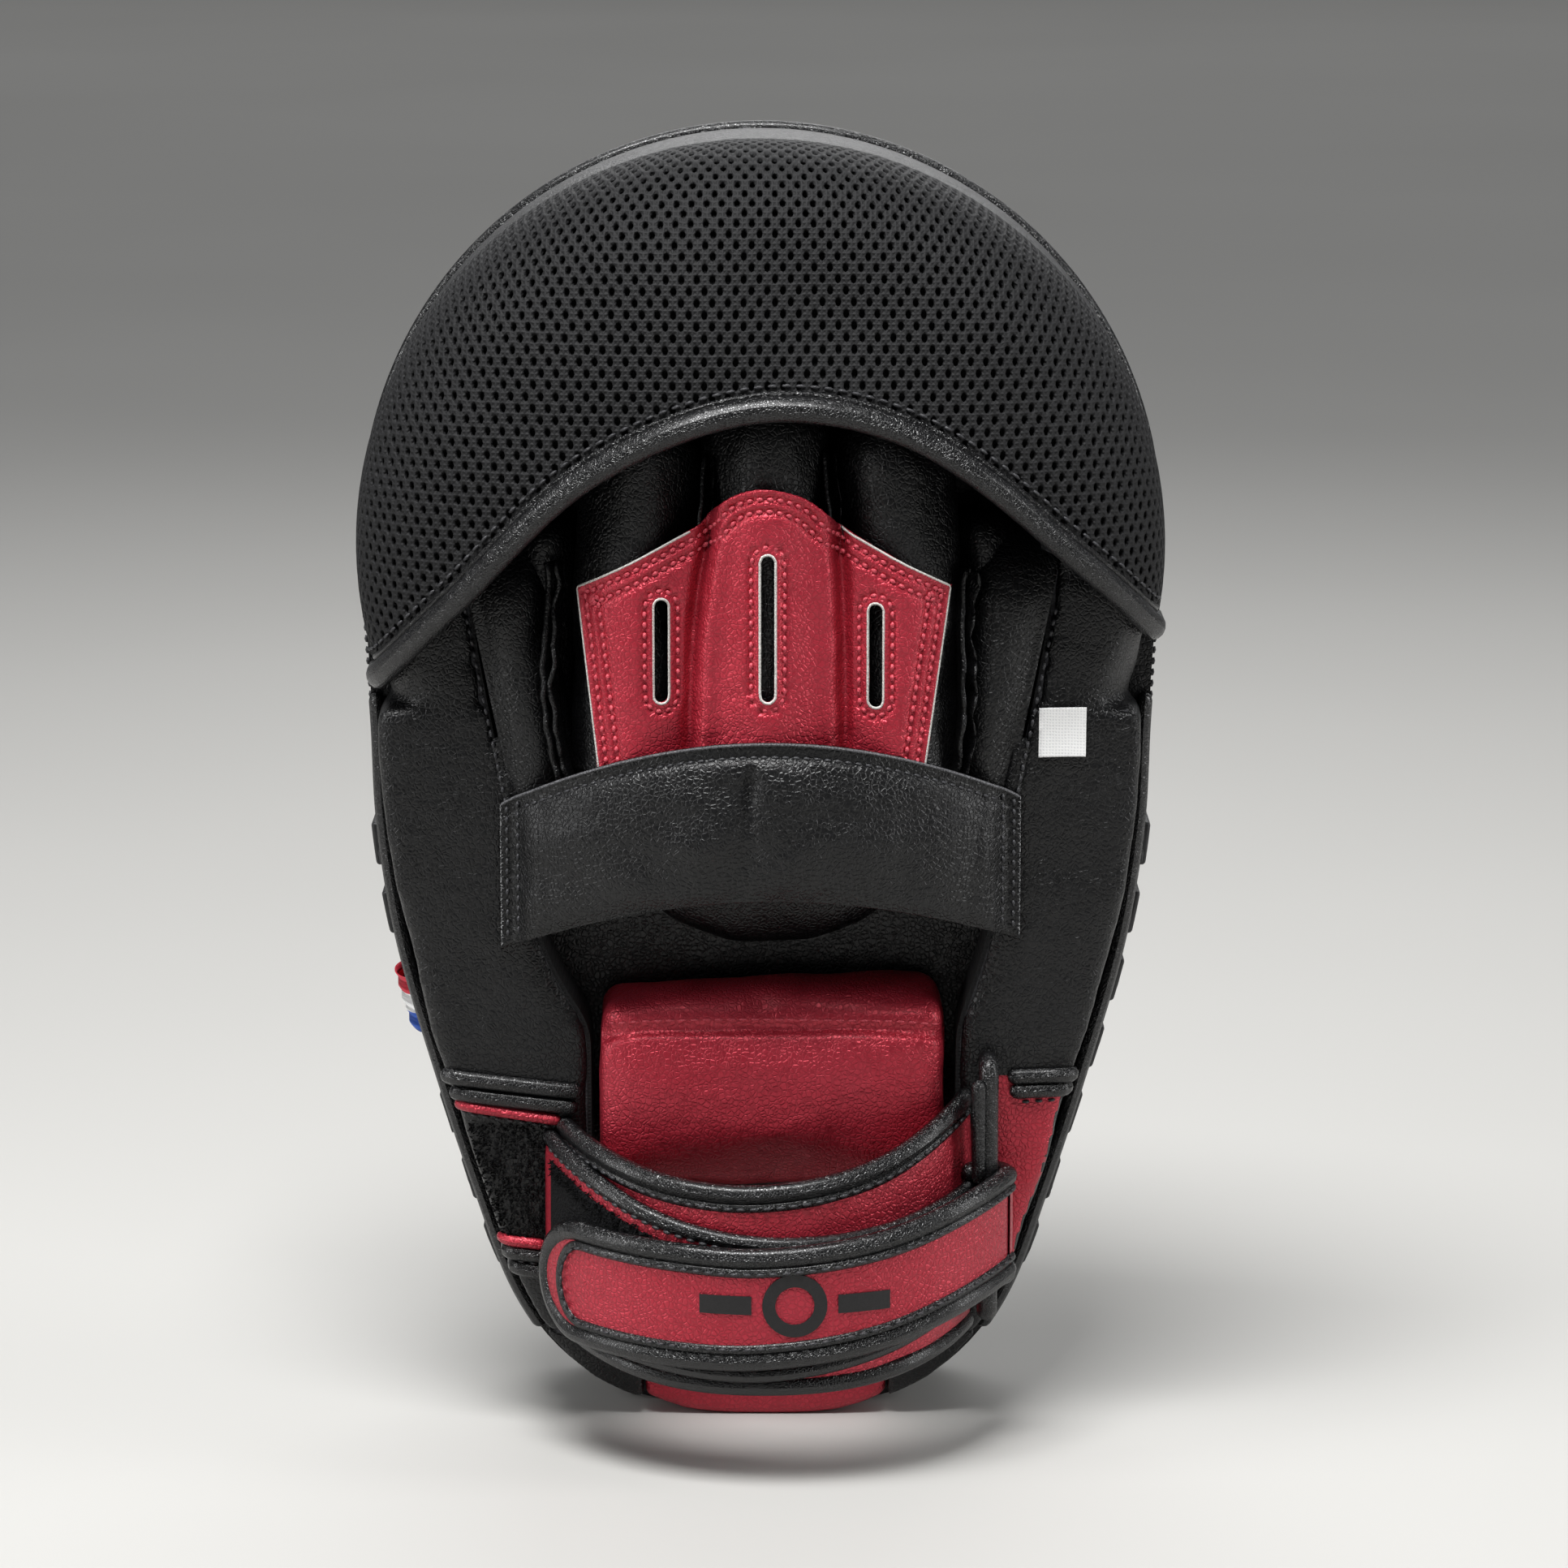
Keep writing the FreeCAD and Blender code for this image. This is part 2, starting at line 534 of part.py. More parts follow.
def make_frame():
    """The padded frame round the hand: foam, covers, lining, ball and cuff trim."""
    outline = pad_outline()
    edge = inset(outline, FRAME_INSET)
    foam_edge = inset(outline, FRAME_INSET + COVER)
    well = prism(well_outline())
    under_hood = dome(HOOD_THICK + HOOD_LINING + HOOD_CLEAR)
    sheet_depth = FRAME_THICK - COVER
    low_part = box(-REACH, REACH, FRAME_FOOT_Z, HOOD_START_Z)
    high_part = box(-REACH, REACH, HOOD_START_Z, ABOVE).common(under_hood)
    foam = layer(foam_edge, -sheet_depth, 0).cut(well)
    save("palm_frame_foam", foam.common(low_part))
    save("finger_frame_foam", foam.common(high_part))
    opening = well
    for sign in (-1, 1):
        opening = opening.cut(beside_seam(sign, COVER_LIP_Z, ABOVE))
    sheet = layer(edge, -FRAME_THICK, -sheet_depth).cut(opening)
    skirt = ring_layer(edge, foam_edge, -sheet_depth, 0).cut(well)
    above_cuff = box(-REACH, REACH, CUFF_TOP_Z, HOOD_START_Z)
    neck = sheet.common(box(-REACH, REACH, HOOD_START_Z, COVER_TOP_Z)).common(under_hood)
    cover = sheet.common(above_cuff).fuse(neck).fuse(skirt.common(low_part))
    save("back_cover", cover.removeSplitter())
    save("left_cuff_panel", sheet.common(box(-REACH, 0, FRAME_FOOT_Z, CUFF_TOP_Z)))
    save("right_cuff_panel", sheet.common(box(0, REACH, FRAME_FOOT_Z, CUFF_TOP_Z)))
    lining = ring_layer(well_outline(), inset(well_outline(), LINING_THICK), -sheet_depth, 0)
    save("well_lining", lining.common(box(-REACH, REACH, FRAME_FOOT_Z, LINING_TOP_Z)))
    save("palm_ball", half_ellipsoid(Vector(BALL_CENTRE_X, 0, BALL_CENTRE_Z), BALL_HALVES))
    save("wrist_pillow", pillow())

    trim_edge = inset(outline, FRAME_INSET + COVER)
    on_top = layer(trim_edge, -FRAME_THICK - CUFF_PIPING_PROUD, -FRAME_THICK).cut(well)
    black = on_top.common(box(-REACH, REACH, CUFF_TOP_Z - CUFF_PIPING_WIDE, CUFF_TOP_Z))
    save("cuff_piping", black.cut(box(*CUFF_BAR_ROOM, 0, 2 * CUFF_TOP_Z)))
    red = [on_top.common(box(-REACH, x, z, z + RED_PIPING_WIDE)) for x, z in RED_PIPING]
    save("cuff_red_piping", Part.Compound([s for r in red for s in r.Solids]))
    pile = layer(trim_edge, -FRAME_THICK - CUFF_PILE_THICK, -FRAME_THICK).cut(well)
    save("left_loop_patch", pile.common(box(-REACH, *CUFF_PILE)))
    proud = slab(-FRAME_THICK - SEAM_PROUD, -FRAME_THICK)
    seams = [beside_seam(sign, *SEAM_Z, SEAM_WIDE).common(proud) for sign in (-1, 1)]
    save("glove_seam_welts", Part.Compound([s for seam in seams for s in seam.Solids]))
    save("care_label", box(*LABEL_BOX).common(slab(-FRAME_THICK - LABEL_THICK, -FRAME_THICK)))


def make_hood():
    """The hood over the fingers: spacer mesh, lining and a leather binding on its lower edge."""
    hand_side = slab(-REACH, 0)
    over = above_arch()
    band = above_arch(BINDING_WIDE).cut(over)
    mesh = dome(0).cut(dome(HOOD_THICK))
    save("hood_mesh", solid_only(mesh.common(over).common(hand_side)))
    lining = dome(HOOD_THICK).cut(dome(HOOD_THICK + HOOD_LINING))
    save("hood_lining", solid_only(lining.common(over).common(hand_side)))
    thick = dome(-BINDING_PROUD).cut(dome(HOOD_THICK + HOOD_LINING))
    save("hood_binding", solid_only(thick.common(band).common(hand_side)))


def make_glove():
    """Five stalls, the leather beside them, the vent patch, seam flanges and the knuckle band."""
    for name, size in STALLS.items():
        save(name, stall(*size))
    for name, points in SIDE_SHEETS.items():
        sheet = drape_sheet(points, SIDE_SHEET_THICK, *SIDE_SHEET_Z)
        for sign in (-1, 1):
            sheet = sheet.cut(beside_seam(sign, COVER_LIP_Z, ABOVE))
        save(name, sheet)
    save("vent_patch", drape_sheet(PATCH_DRAPE, PATCH_THICK, *PATCH_Z).common(patch_prism()))
    half = FLANGE_THICK / 2
    blocks = Part.Compound([box(x - half, x + half, z0, z1, y0, y1) for x, z0, z1, y0, y1 in FLANGES])
    for x, z, length, radius, deep in STALLS.values():
        blocks = blocks.cut(Part.makeCylinder(radius + STALL_GAP, 2 * length, Vector(x, -deep, z)))
    save("seam_flanges", blocks)
    save("knuckle_band_padding", knuckle_strip(0, KNUCKLE_PAD))
    save("knuckle_band", knuckle_strip(KNUCKLE_PAD, KNUCKLE_PAD + KNUCKLE_SKIN))


def make_wrist():
    """The wrist guard, the strap's sewn run, its loop and its free flap in two parts."""
    over_cuff = slab(-REACH, -FRAME_THICK)
    thin = ring_strip(WRIST_AXIS, *GUARD_RINGS, -ROOT_ANGLE, ROOT_ANGLE).common(over_cuff)
    thick = ring_strip(WRIST_AXIS, GUARD_RINGS[0] - PIPING_PROUD, GUARD_RINGS[1], -ROOT_ANGLE, ROOT_ANGLE)
    band, piping = band_and_piping(band_outline(GUARD_TOP, GUARD_FOOT), thin, thick.common(over_cuff))
    save("wrist_guard", band)
    save("wrist_guard_piping", piping)

    _, _, bar_angle = bar_centre()
    thin = ring_strip(WRIST_AXIS, *INNER_RINGS, -ROOT_ANGLE, bar_angle).common(over_cuff)
    outline = band_outline(INNER_TOP, INNER_FOOT)
    band, piping = band_and_piping(outline, thin, thin)
    save("strap_inner_run", band)
    save("strap_inner_piping", piping)
    pile = ring_strip(WRIST_AXIS, INNER_RINGS[1], INNER_RINGS[1] + PILE, -ROOT_ANGLE + 12, bar_angle - 14)
    save("strap_loop_pile", pile.common(prism(inset(outline, PIPING_WIDE + 0.8))))
    save("strap_fold", fold())
    save("keeper_loop", keeper())

    axis, radius, right = flap_ring()
    near, far = radius - STRAP_THICK / 2, radius + STRAP_THICK / 2
    left = ring_angle(axis, radius, FLAP_END[0] - 1)
    split = ring_angle(axis, radius, TIP_SPLIT_X)
    half_gap = math.degrees(SPLIT_GAP / 2 / radius)
    right -= FLAP_START_GAP
    runs = {"strap_flap": (split + half_gap, right), "strap_tip": (left, split - half_gap)}
    whole = flap_outline()
    hooks_outline = prism(inset(whole, PIPING_WIDE + 1.0))
    for name, (a, b) in runs.items():
        thin = ring_strip(axis, near, far, a, b)
        thick = ring_strip(axis, near, far + PIPING_PROUD, a, b)
        band, piping = band_and_piping(whole, thin, thick)
        save(name, band)
        save(name + "_piping", piping)
        hook_end = min(b, right - 16)
        hooks = ring_strip(axis, near - PILE, near, a, hook_end)
        save(name + "_hooks", hooks.common(hooks_outline))
    save("strap_emblem", emblem())
    centre, _, _ = bar_centre()
    tip_axis = on_ring(axis, far + PIPING_PROUD + 0.1, split)
    print("bar axis %.3f %.3f   tip axis %.3f %.3f" % (centre.x, centre.y, tip_axis.x, tip_axis.y))
    print("flap ring axis %.3f %.3f radius %.3f right %.2f" % (axis[0], axis[1], radius, right))


def main():
    os.makedirs("parts", exist_ok=True)
    make_pad()
    make_frame()
    make_hood()
    make_glove()
    make_wrist()


main()
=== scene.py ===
import math
import random

import bmesh
import bpy
from bpy.props import FloatProperty, FloatVectorProperty, IntProperty, PointerProperty
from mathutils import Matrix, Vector, kdtree, noise
from mathutils.bvhtree import BVHTree


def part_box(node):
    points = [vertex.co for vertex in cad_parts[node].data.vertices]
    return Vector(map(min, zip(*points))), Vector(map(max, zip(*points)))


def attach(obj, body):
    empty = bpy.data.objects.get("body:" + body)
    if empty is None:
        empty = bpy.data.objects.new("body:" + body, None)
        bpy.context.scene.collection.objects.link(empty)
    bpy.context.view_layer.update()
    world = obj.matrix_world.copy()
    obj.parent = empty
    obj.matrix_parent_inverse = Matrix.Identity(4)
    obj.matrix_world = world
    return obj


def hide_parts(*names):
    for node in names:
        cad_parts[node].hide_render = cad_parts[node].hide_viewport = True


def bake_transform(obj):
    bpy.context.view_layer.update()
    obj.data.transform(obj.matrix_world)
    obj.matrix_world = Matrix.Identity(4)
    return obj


bl_info = {
    "name": "Focus mitt",
    "version": (1, 0, 0),
    "blender": (4, 5, 0),
    "location": "View3D > Sidebar > Mitt",
    "description": "Dresses the framed mitt in mesh, leather, piping, pile and stitching",
    "category": "Object",
}

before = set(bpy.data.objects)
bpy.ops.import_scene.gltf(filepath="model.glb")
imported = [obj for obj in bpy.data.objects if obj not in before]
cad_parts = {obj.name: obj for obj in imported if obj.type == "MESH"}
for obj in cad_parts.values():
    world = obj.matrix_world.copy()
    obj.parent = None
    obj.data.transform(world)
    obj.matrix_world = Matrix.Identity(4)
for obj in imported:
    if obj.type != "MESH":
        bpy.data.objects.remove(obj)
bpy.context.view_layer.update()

MM = 0.001
OUT = Vector((0, -1, 0))

# Shapes shared with the frame, in millimetres: x to the right, y towards the strike, z up.
TOP_Z = 211.5
TOP_R = 94.5
SIDE = [(91.6, 170), (90.6, 146), (86.5, 118), (78.0, 86), (69.0, 56), (59.0, 28), (44.0, 9), (20, 0)]
BEND_R, BEND_Z = 1300.0, 153.0
PAD = 34.0
FRAME_DEEP = 18.2
HOOD_PROFILE = [(0, -40), (26, -39.2), (53, -35.5), (77, -27), (90.5, -14.5), (94.5, -2), (94.5, 14)]
ARCH = [(-97, 176.5), (-90.5, 186), (-72, 206), (-40, 237), (0, 252.3), (38, 244.8), (77, 214), (93, 197.5),
        (98, 190)]
PATCH = [(-37, 161), (-42.3, 207), (-13, 222.5), (-7, 228.8), (1.5, 231.2), (10, 228.8), (17.8, 222),
         (44, 207.5),
         (37.5, 161)]
SEAM_LOW, SEAM_HIGH = (57.2, 155.0), (66.0, 199.0)
SLOTS = [(-22.6, 181, 205), (1.8, 182, 216), (26.5, 180, 204)]
WRIST = (1.0, 0.0)
GUARD_TOP = [(-64, 84), (-50, 79), (-25, 72), (0, 70.5), (28, 75), (51, 86), (66, 94)]
GUARD_FOOT = [(-64, 33), (-50, 27.5), (-25, 22), (0, 21), (28, 22), (51, 27), (66, 33)]
INNER_TOP = [(-64, 81), (-50, 75), (-25, 64), (0, 59.4), (28, 60), (52, 65), (70, 70)]
INNER_FOOT = [(-64, 36), (-50, 31.4), (-25, 26.5), (0, 25), (28, 29), (52, 37), (70, 42)]
FLAP_TOP = [(-42, 58.5), (-20, 58), (0, 57.7), (28, 60.5), (52, 66.5), (78, 74)]
FLAP_FOOT = [(-42, 29.5), (-20, 29), (0, 29.5), (28, 33), (52, 39.5), (78, 47)]
FLAP_END = (-52.0, 43.5)
FLAP_AXIS, FLAP_R = (3.424, 3.771), 61.619
BAR = (53.5, -23.938)


def srgb(text):
    """Linear red, green, blue and alpha of a hex colour."""
    parts = [int(text[i:i + 2], 16) / 255 for i in (1, 3, 5)]
    return tuple(c / 12.92 if c <= 0.04045 else ((c + 0.055) / 1.055) ** 2.4 for c in parts) + (1.0,)


# ---------------------------------------------------------------- lines and surfaces

def smooth_line(points, count):
    """Points at even distances along a smooth line through the given ones."""
    pts = [Vector(p) for p in points]
    dense = []
    for i in range(len(pts) - 1):
        before, after = pts[max(0, i - 1)], pts[min(len(pts) - 1, i + 2)]
        a, b = pts[i], pts[i + 1]
        span = (b - a).length
        into = (b - before) * (span / max(1e-6, (a - before).length + span)) if i else b - a
        out = (after - a) * (span / max(1e-6, (after - b).length + span)) if i < len(pts) - 2 else b - a
        for k in range(12):
            t = k / 12
            dense.append(a * (2 * t ** 3 - 3 * t ** 2 + 1) + into * (t ** 3 - 2 * t ** 2 + t)
                         + b * (3 * t ** 2 - 2 * t ** 3) + out * (t ** 3 - t ** 2))
    return even_line(dense + [pts[-1]], count)


def even_line(points, count):
    """The same line with count points at even distances."""
    lengths = [0.0]
    for a, b in zip(points, points[1:]):
        lengths.append(lengths[-1] + (b - a).length)
    out, k = [], 0
    for i in range(count):
        want = lengths[-1] * i / (count - 1)
        while k < len(points) - 2 and lengths[k + 1] < want:
            k += 1
        step = lengths[k + 1] - lengths[k]
        out.append(points[k].lerp(points[k + 1], 0 if step < 1e-9 else (want - lengths[k]) / step))
    return out


def line_length(points):
    return sum((b - a).length for a, b in zip(points, points[1:]))


def height_line(points):
    """A function giving the second figure of a smooth line at each first figure."""
    line = smooth_line([(a, b, 0) for a, b in points], 160)

    def at(x):
        if x <= line[0].x:
            return line[0].y
        for a, b in zip(line, line[1:]):
            if x <= b.x:
                return a.y + (b.y - a.y) * (x - a.x) / max(1e-9, b.x - a.x)
        return line[-1].y
    return at


def bend(z, depth=0.0):
    """Y of the bent pad's layer at that depth and height."""
    return BEND_R - math.sqrt((BEND_R - depth) ** 2 - (z - BEND_Z) ** 2)


def outline_points(count):
    """The pad's outline, seen from the hand side, from the middle of the foot round by the right."""
    low = math.radians(-10)
    start = (TOP_R * math.cos(low), 0, TOP_Z + TOP_R * math.sin(low))
    side = smooth_line([start] + [(x, 0, z) for x, z in SIDE], 60)
    side.reverse()
    top = [Vector((TOP_R * math.cos(a), 0, TOP_Z + TOP_R * math.sin(a)))
           for a in [low + (math.pi - 2 * low) * i / 90 for i in range(1, 90)]]
    left = [Vector((-p.x, 0, p.z)) for p in reversed(side)]
    foot = Vector((0, 0, 0))
    return even_line([foot] + side + top + left + [foot], count + 1)[:-1]


def outline_normals(points):
    """Outward directions along the outline."""
    out = []
    for i in range(len(points)):
        run = points[(i + 1) % len(points)] - points[i - 1]
        out.append(Vector((run.z, 0, -run.x)).normalized())
    return out


arch = height_line(ARCH)
guard_top, guard_foot = height_line(GUARD_TOP), height_line(GUARD_FOOT)
inner_top, inner_foot = height_line(INNER_TOP), height_line(INNER_FOOT)
flap_top, flap_foot = height_line(FLAP_TOP), height_line(FLAP_FOOT)
dome_line = smooth_line([(r, y, 0) for r, y in HOOD_PROFILE], 240)
DOME_LENGTH = line_length(dome_line)


def dome_point(flat_x, flat_z, sunk=0.0):
    """A point of the hood from its place on the flat cloth, measured from the middle of the round top."""
    rho = math.hypot(flat_x, flat_z)
    at = min(1.0, rho / DOME_LENGTH) * (len(dome_line) - 1)
    i = min(int(at), len(dome_line) - 2)
    p = dome_line[i].lerp(dome_line[i + 1], at - i)
    run = (dome_line[i + 1] - dome_line[i]).normalized()
    r, y = p.x - run.y * sunk, p.y + run.x * sunk
    k = r / rho if rho > 1e-6 else 1.0
    x, z = flat_x * k, TOP_Z + flat_z * k
    return Vector((x, y + hood_dent(x, z), z))


def hood_dent(x, z):
    """The hood sags a little between the fingers and the top edge, and creases beside the sag."""
    sag = 2.6 * math.exp(-((x - 12) / 26) ** 2 - ((z - 270) / 17) ** 2)
    ripple = 0.9 * math.sin((x + 0.5 * z) / 11) * math.exp(-((x - 6) / 48) ** 2 - ((z - 268) / 16) ** 2)
    return sag + ripple + 0.8 * noise.noise(Vector((x / 22, 3.1, z / 22)))


def dome_y(x, z):
    """Y of the hood's outside in front of a point, and None beyond the rim."""
    r = math.hypot(x, z - TOP_Z)
    for a, b in zip(dome_line, dome_line[1:]):
        if a.x <= r <= b.x:
            return a.y + (b.y - a.y) * (r - a.x) / max(1e-9, b.x - a.x) + hood_dent(x, z)
    return None


def seam_x(z):
    """Distance from the middle to the side seams at a height."""
    return SEAM_LOW[0] + (SEAM_HIGH[0] - SEAM_LOW[0]) * (z - SEAM_LOW[1]) / (SEAM_HIGH[1] - SEAM_LOW[1])


def ring_point(axis, radius, degrees, z):
    """A point of an upright ring. 0 degrees faces the hand side, and 90 is to the right."""
    a = math.radians(degrees)
    return Vector((axis[0] + radius * math.sin(a), axis[1] - radius * math.cos(a), z))


def ring_degrees(axis, radius, x):
    return math.degrees(math.asin(max(-1, min(1, (x - axis[0]) / radius))))


KNUCKLE_R = (60.0 ** 2 + 20.6 ** 2) / (2 * 20.6)


def knuckle_y(x):
    """Y of the inside of the knuckle band."""
    return -39.2 + KNUCKLE_R - math.sqrt(max(0, KNUCKLE_R ** 2 - x * x))


def arc_height(left, middle, right, half):
    """Height of the arc through three points at -half, 0 and +half."""
    return lambda x: middle + (right - left) / 2 * x / half + ((right + left) / 2 - middle) * (x / half) ** 2


band_top = arc_height(152.5, 173.0, 154.5, 64)
band_foot = arc_height(118.5, 136.5, 121.0, 64)


# ---------------------------------------------------------------- meshes

def skin(bm, across, along, place):
    """A grid of faces whose corners go where place(u, v) says, u along and v across."""
    made = bmesh.ops.create_grid(bm, x_segments=along, y_segments=across, size=0.5)
    for v in made["verts"]:
        v.co = place(v.co.x + 0.5, v.co.y + 0.5)
    return made["verts"]


def tube(bm, path, radius, out=OUT, sides=10, flat=1.0, spacing=1.5, closed=False):
    """Round or oval piping along a line, with round ends. out points away from what it lies on."""
    count = max(6, int(line_length(path) / spacing))
    line = even_line(path, count)
    if closed:
        line = line[:-1]
    n = len(line)
    stations = []
    for i, p in enumerate(line):
        if closed:
            run = line[(i + 1) % n] - line[i - 1]
        else:
            run = line[min(n - 1, i + 1)] - line[max(0, i - 1)]
        stations.append((p, run.normalized(), 1.0))
    if not closed:
        for place, end in ((0, 0), (len(stations), -1)):
            p, run, _ = stations[end]
            away = -run if end == 0 else run
            caps = [(p + away * radius * math.cos(a), run, math.sin(a)) for a in (0.02, 0.5, 1.0)]
            if end == 0:
                stations = caps + stations
            else:
                stations = stations + caps[::-1]
    total = len(stations)

    def place(u, v):
        k = min(total - 1, round(u * (total if closed else total - 1)))
        if closed:
            k = round(u * total) % total
        p, run, grow = stations[k]
        away = out(p) if callable(out) else out
        up = (away - run * away.dot(run)).normalized()
        side = run.cross(up)
        a = 2 * math.pi * v
        return p + (up * math.cos(a) * flat + side * math.sin(a)) * radius * grow

    skin(bm, sides, total if closed else total - 1, place)


def stitches(bm, path, pitch, long, thick, out=OUT, sunk=0.0):
    """A row of small threads along a line, each a long bead half sunk in the leather."""
    count = max(2, int(line_length(path) / pitch) + 1)
    line = even_line(path, count)
    for i, p in enumerate(line[:-1]):
        mid = (p + line[i + 1]) / 2
        run = (line[i + 1] - p).normalized()
        away = out(mid) if callable(out) else out
        up = (away - run * away.dot(run)).normalized()
        side = run.cross(up)
        bead = bmesh.ops.create_icosphere(bm, subdivisions=1, radius=1.0)["verts"]
        for v in bead:
            c = v.co
            v.co = (mid - up * sunk + run * (c.x * long / 2) + side * (c.y * thick / 2)
                    + up * (c.z * thick / 2))


def weld(bm, distance=0.002):
    """Closes seams and poles, then turns all faces outward."""
    bmesh.ops.remove_doubles(bm, verts=bm.verts, dist=distance)
    bmesh.ops.dissolve_degenerate(bm, edges=bm.edges, dist=distance / 2)
    bmesh.ops.recalc_face_normals(bm, faces=bm.faces)


def thicken(bm, amount):
    """Gives an open sheet a wall, inward from its outer face."""
    bmesh.ops.solidify(bm, geom=bm.faces[:], thickness=amount)


def face_out(bm, towards):
    """Turns an open sheet so that it faces a direction on the whole."""
    total = sum((f.normal * f.calc_area() for f in bm.faces), Vector())
    if total.dot(towards) < 0:
        bmesh.ops.reverse_faces(bm, faces=bm.faces)


def make_object(name, bm, materials, body="mitt", stands_for=(), flat=False, ride=True):
    """Turns a shape in millimetres into a finished piece that moves with its body."""
    bmesh.ops.scale(bm, vec=(MM, MM, MM), verts=bm.verts)
    mesh = bpy.data.meshes.new(name)
    bm.to_mesh(mesh)
    bm.free()
    for p in mesh.polygons:
        p.use_smooth = not flat
    obj = bpy.data.objects.new(name, mesh)
    bpy.context.scene.collection.objects.link(obj)
    for m in materials if isinstance(materials, (list, tuple)) else [materials]:
        mesh.materials.append(m)
    if ride:
        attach(obj, body)
    if stands_for:
        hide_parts(*stands_for)
    return obj


def soften(obj, levels=1):
    """Adds a subdivision surface."""
    m = obj.modifiers.new("soft", "SUBSURF")
    m.levels = m.render_levels = levels
    return obj


def cad_shape(*nodes):
    """Merged copies of frame nodes, in millimetres."""
    bm = bmesh.new()
    for node in nodes:
        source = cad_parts[node]
        part = bmesh.new()
        part.from_mesh(source.data)
        part.transform(source.matrix_world)
        held = bpy.data.meshes.new("held")
        part.to_mesh(held)
        part.free()
        bm.from_mesh(held)
        bpy.data.meshes.remove(held)
    bmesh.ops.scale(bm, vec=(1 / MM,) * 3, verts=bm.verts)
    bmesh.ops.remove_doubles(bm, verts=bm.verts, dist=0.002)
    return bm


def through_modifier(bm, kind, settle=None, frames=0, **settings):
    """The shape after one modifier, applied. Sizes in the settings are in metres."""
    scene = bpy.context.scene
    bmesh.ops.scale(bm, vec=(MM, MM, MM), verts=bm.verts)
    mesh = bpy.data.meshes.new("held")
    bm.to_mesh(mesh)
    bm.free()
    obj = bpy.data.objects.new("held", mesh)
    scene.collection.objects.link(obj)
    m = obj.modifiers.new("held", kind)
    for key, value in settings.items():
        setattr(m, key, value)
    if settle:
        settle(m)
    for f in range(1, frames + 1):
        scene.frame_set(f)
    done = bpy.data.meshes.new_from_object(obj.evaluated_get(bpy.context.evaluated_depsgraph_get()))
    out = bmesh.new()
    out.from_mesh(done)
    bpy.data.objects.remove(obj)
    bpy.data.meshes.remove(mesh)
    bpy.data.meshes.remove(done)
    if frames:
        scene.frame_set(1)
    bmesh.ops.scale(out, vec=(1 / MM,) * 3, verts=out.verts)
    return out


def remeshed(bm, voxel):
    """The closed shape as even faces of that size in millimetres."""
    return through_modifier(bm, "REMESH", mode="VOXEL", voxel_size=voxel * MM)


def swelled(bm, voxel, cap, pressure=4.0):
    """A stuffed cover: remeshed, blown up as cloth, no point moving further than cap."""
    bm = remeshed(bm, voxel)
    before = [v.co.copy() for v in bm.verts]

    def settle(m):
        m.settings.quality = 6
        m.settings.use_pressure = True
        m.settings.uniform_pressure_force = pressure
        m.settings.effector_weights.gravity = 0

    after = through_modifier(bm.copy(), "CLOTH", settle, frames=20)
    bm.free()
    after.verts.ensure_lookup_table()
    for v, p in zip(after.verts, before):
        move = v.co - p
        if move.length > cap:
            v.co = p + move * (cap / move.length)
    return after


def relax(bm, times, factor=0.5):
    for _ in range(times):
        bmesh.ops.smooth_vert(bm, verts=bm.verts, factor=factor, use_axis_x=True, use_axis_y=True,
                              use_axis_z=True)


def rumple(bm, size, amount, seed=0.0):
    """Small uneven swells, as in leather over foam."""
    bm.normal_update()
    for v in bm.verts:
        v.co += v.normal * amount * noise.noise(v.co / size + Vector((seed, seed * 2, 0)))


def pinch(bm, lines, width, amount, direction=None):
    """Draws the skin in along sewn lines."""
    points = [p for line in lines for p in line]
    tree = kdtree.KDTree(len(points))
    for i, p in enumerate(points):
        tree.insert(p, i)
    tree.balance()
    bm.normal_update()
    for v in bm.verts:
        _, _, d = tree.find(v.co)
        if d < width * 3:
            v.co -= (direction or v.normal) * amount * math.exp(-(d / width) ** 2)


def land(bm, path, direction, lift=0.0):
    """Moves a line along a direction until it meets the shape."""
    tree = BVHTree.FromBMesh(bm)
    out = []
    for p in path:
        hit = tree.ray_cast(p - direction * 100, direction)[0]
        if hit is not None:
            out.append(hit - direction * lift)
    return out


# ---------------------------------------------------------------- materials

def add(tree, kind, values=(), links=(), **settings):
    """Adds one node with its settings, its input values and the links into it."""
    node = tree.nodes.new(kind)
    for key, value in settings.items():
        setattr(node, key, value)
    for name, value in dict(values).items():
        node.inputs[name].default_value = value
    for name, source in dict(links).items():
        tree.links.new(source, node.inputs[name])
    return node


def per_mm(size):
    """Texture scale that gives a pattern of that size in millimetres."""
    return 1.0 / (size * MM)


def start_material(name, **shader):
    material = bpy.data.materials.new(name)
    material.use_nodes = True
    tree = material.node_tree
    tree.nodes.clear()
    surface = add(tree, "ShaderNodeBsdfPrincipled", {k.replace("_", " "): v for k, v in shader.items()})
    add(tree, "ShaderNodeOutputMaterial", links={"Surface": surface.outputs[0]})
    place = add(tree, "ShaderNodeTexCoord").outputs["Object"]
    return material, tree, surface, place


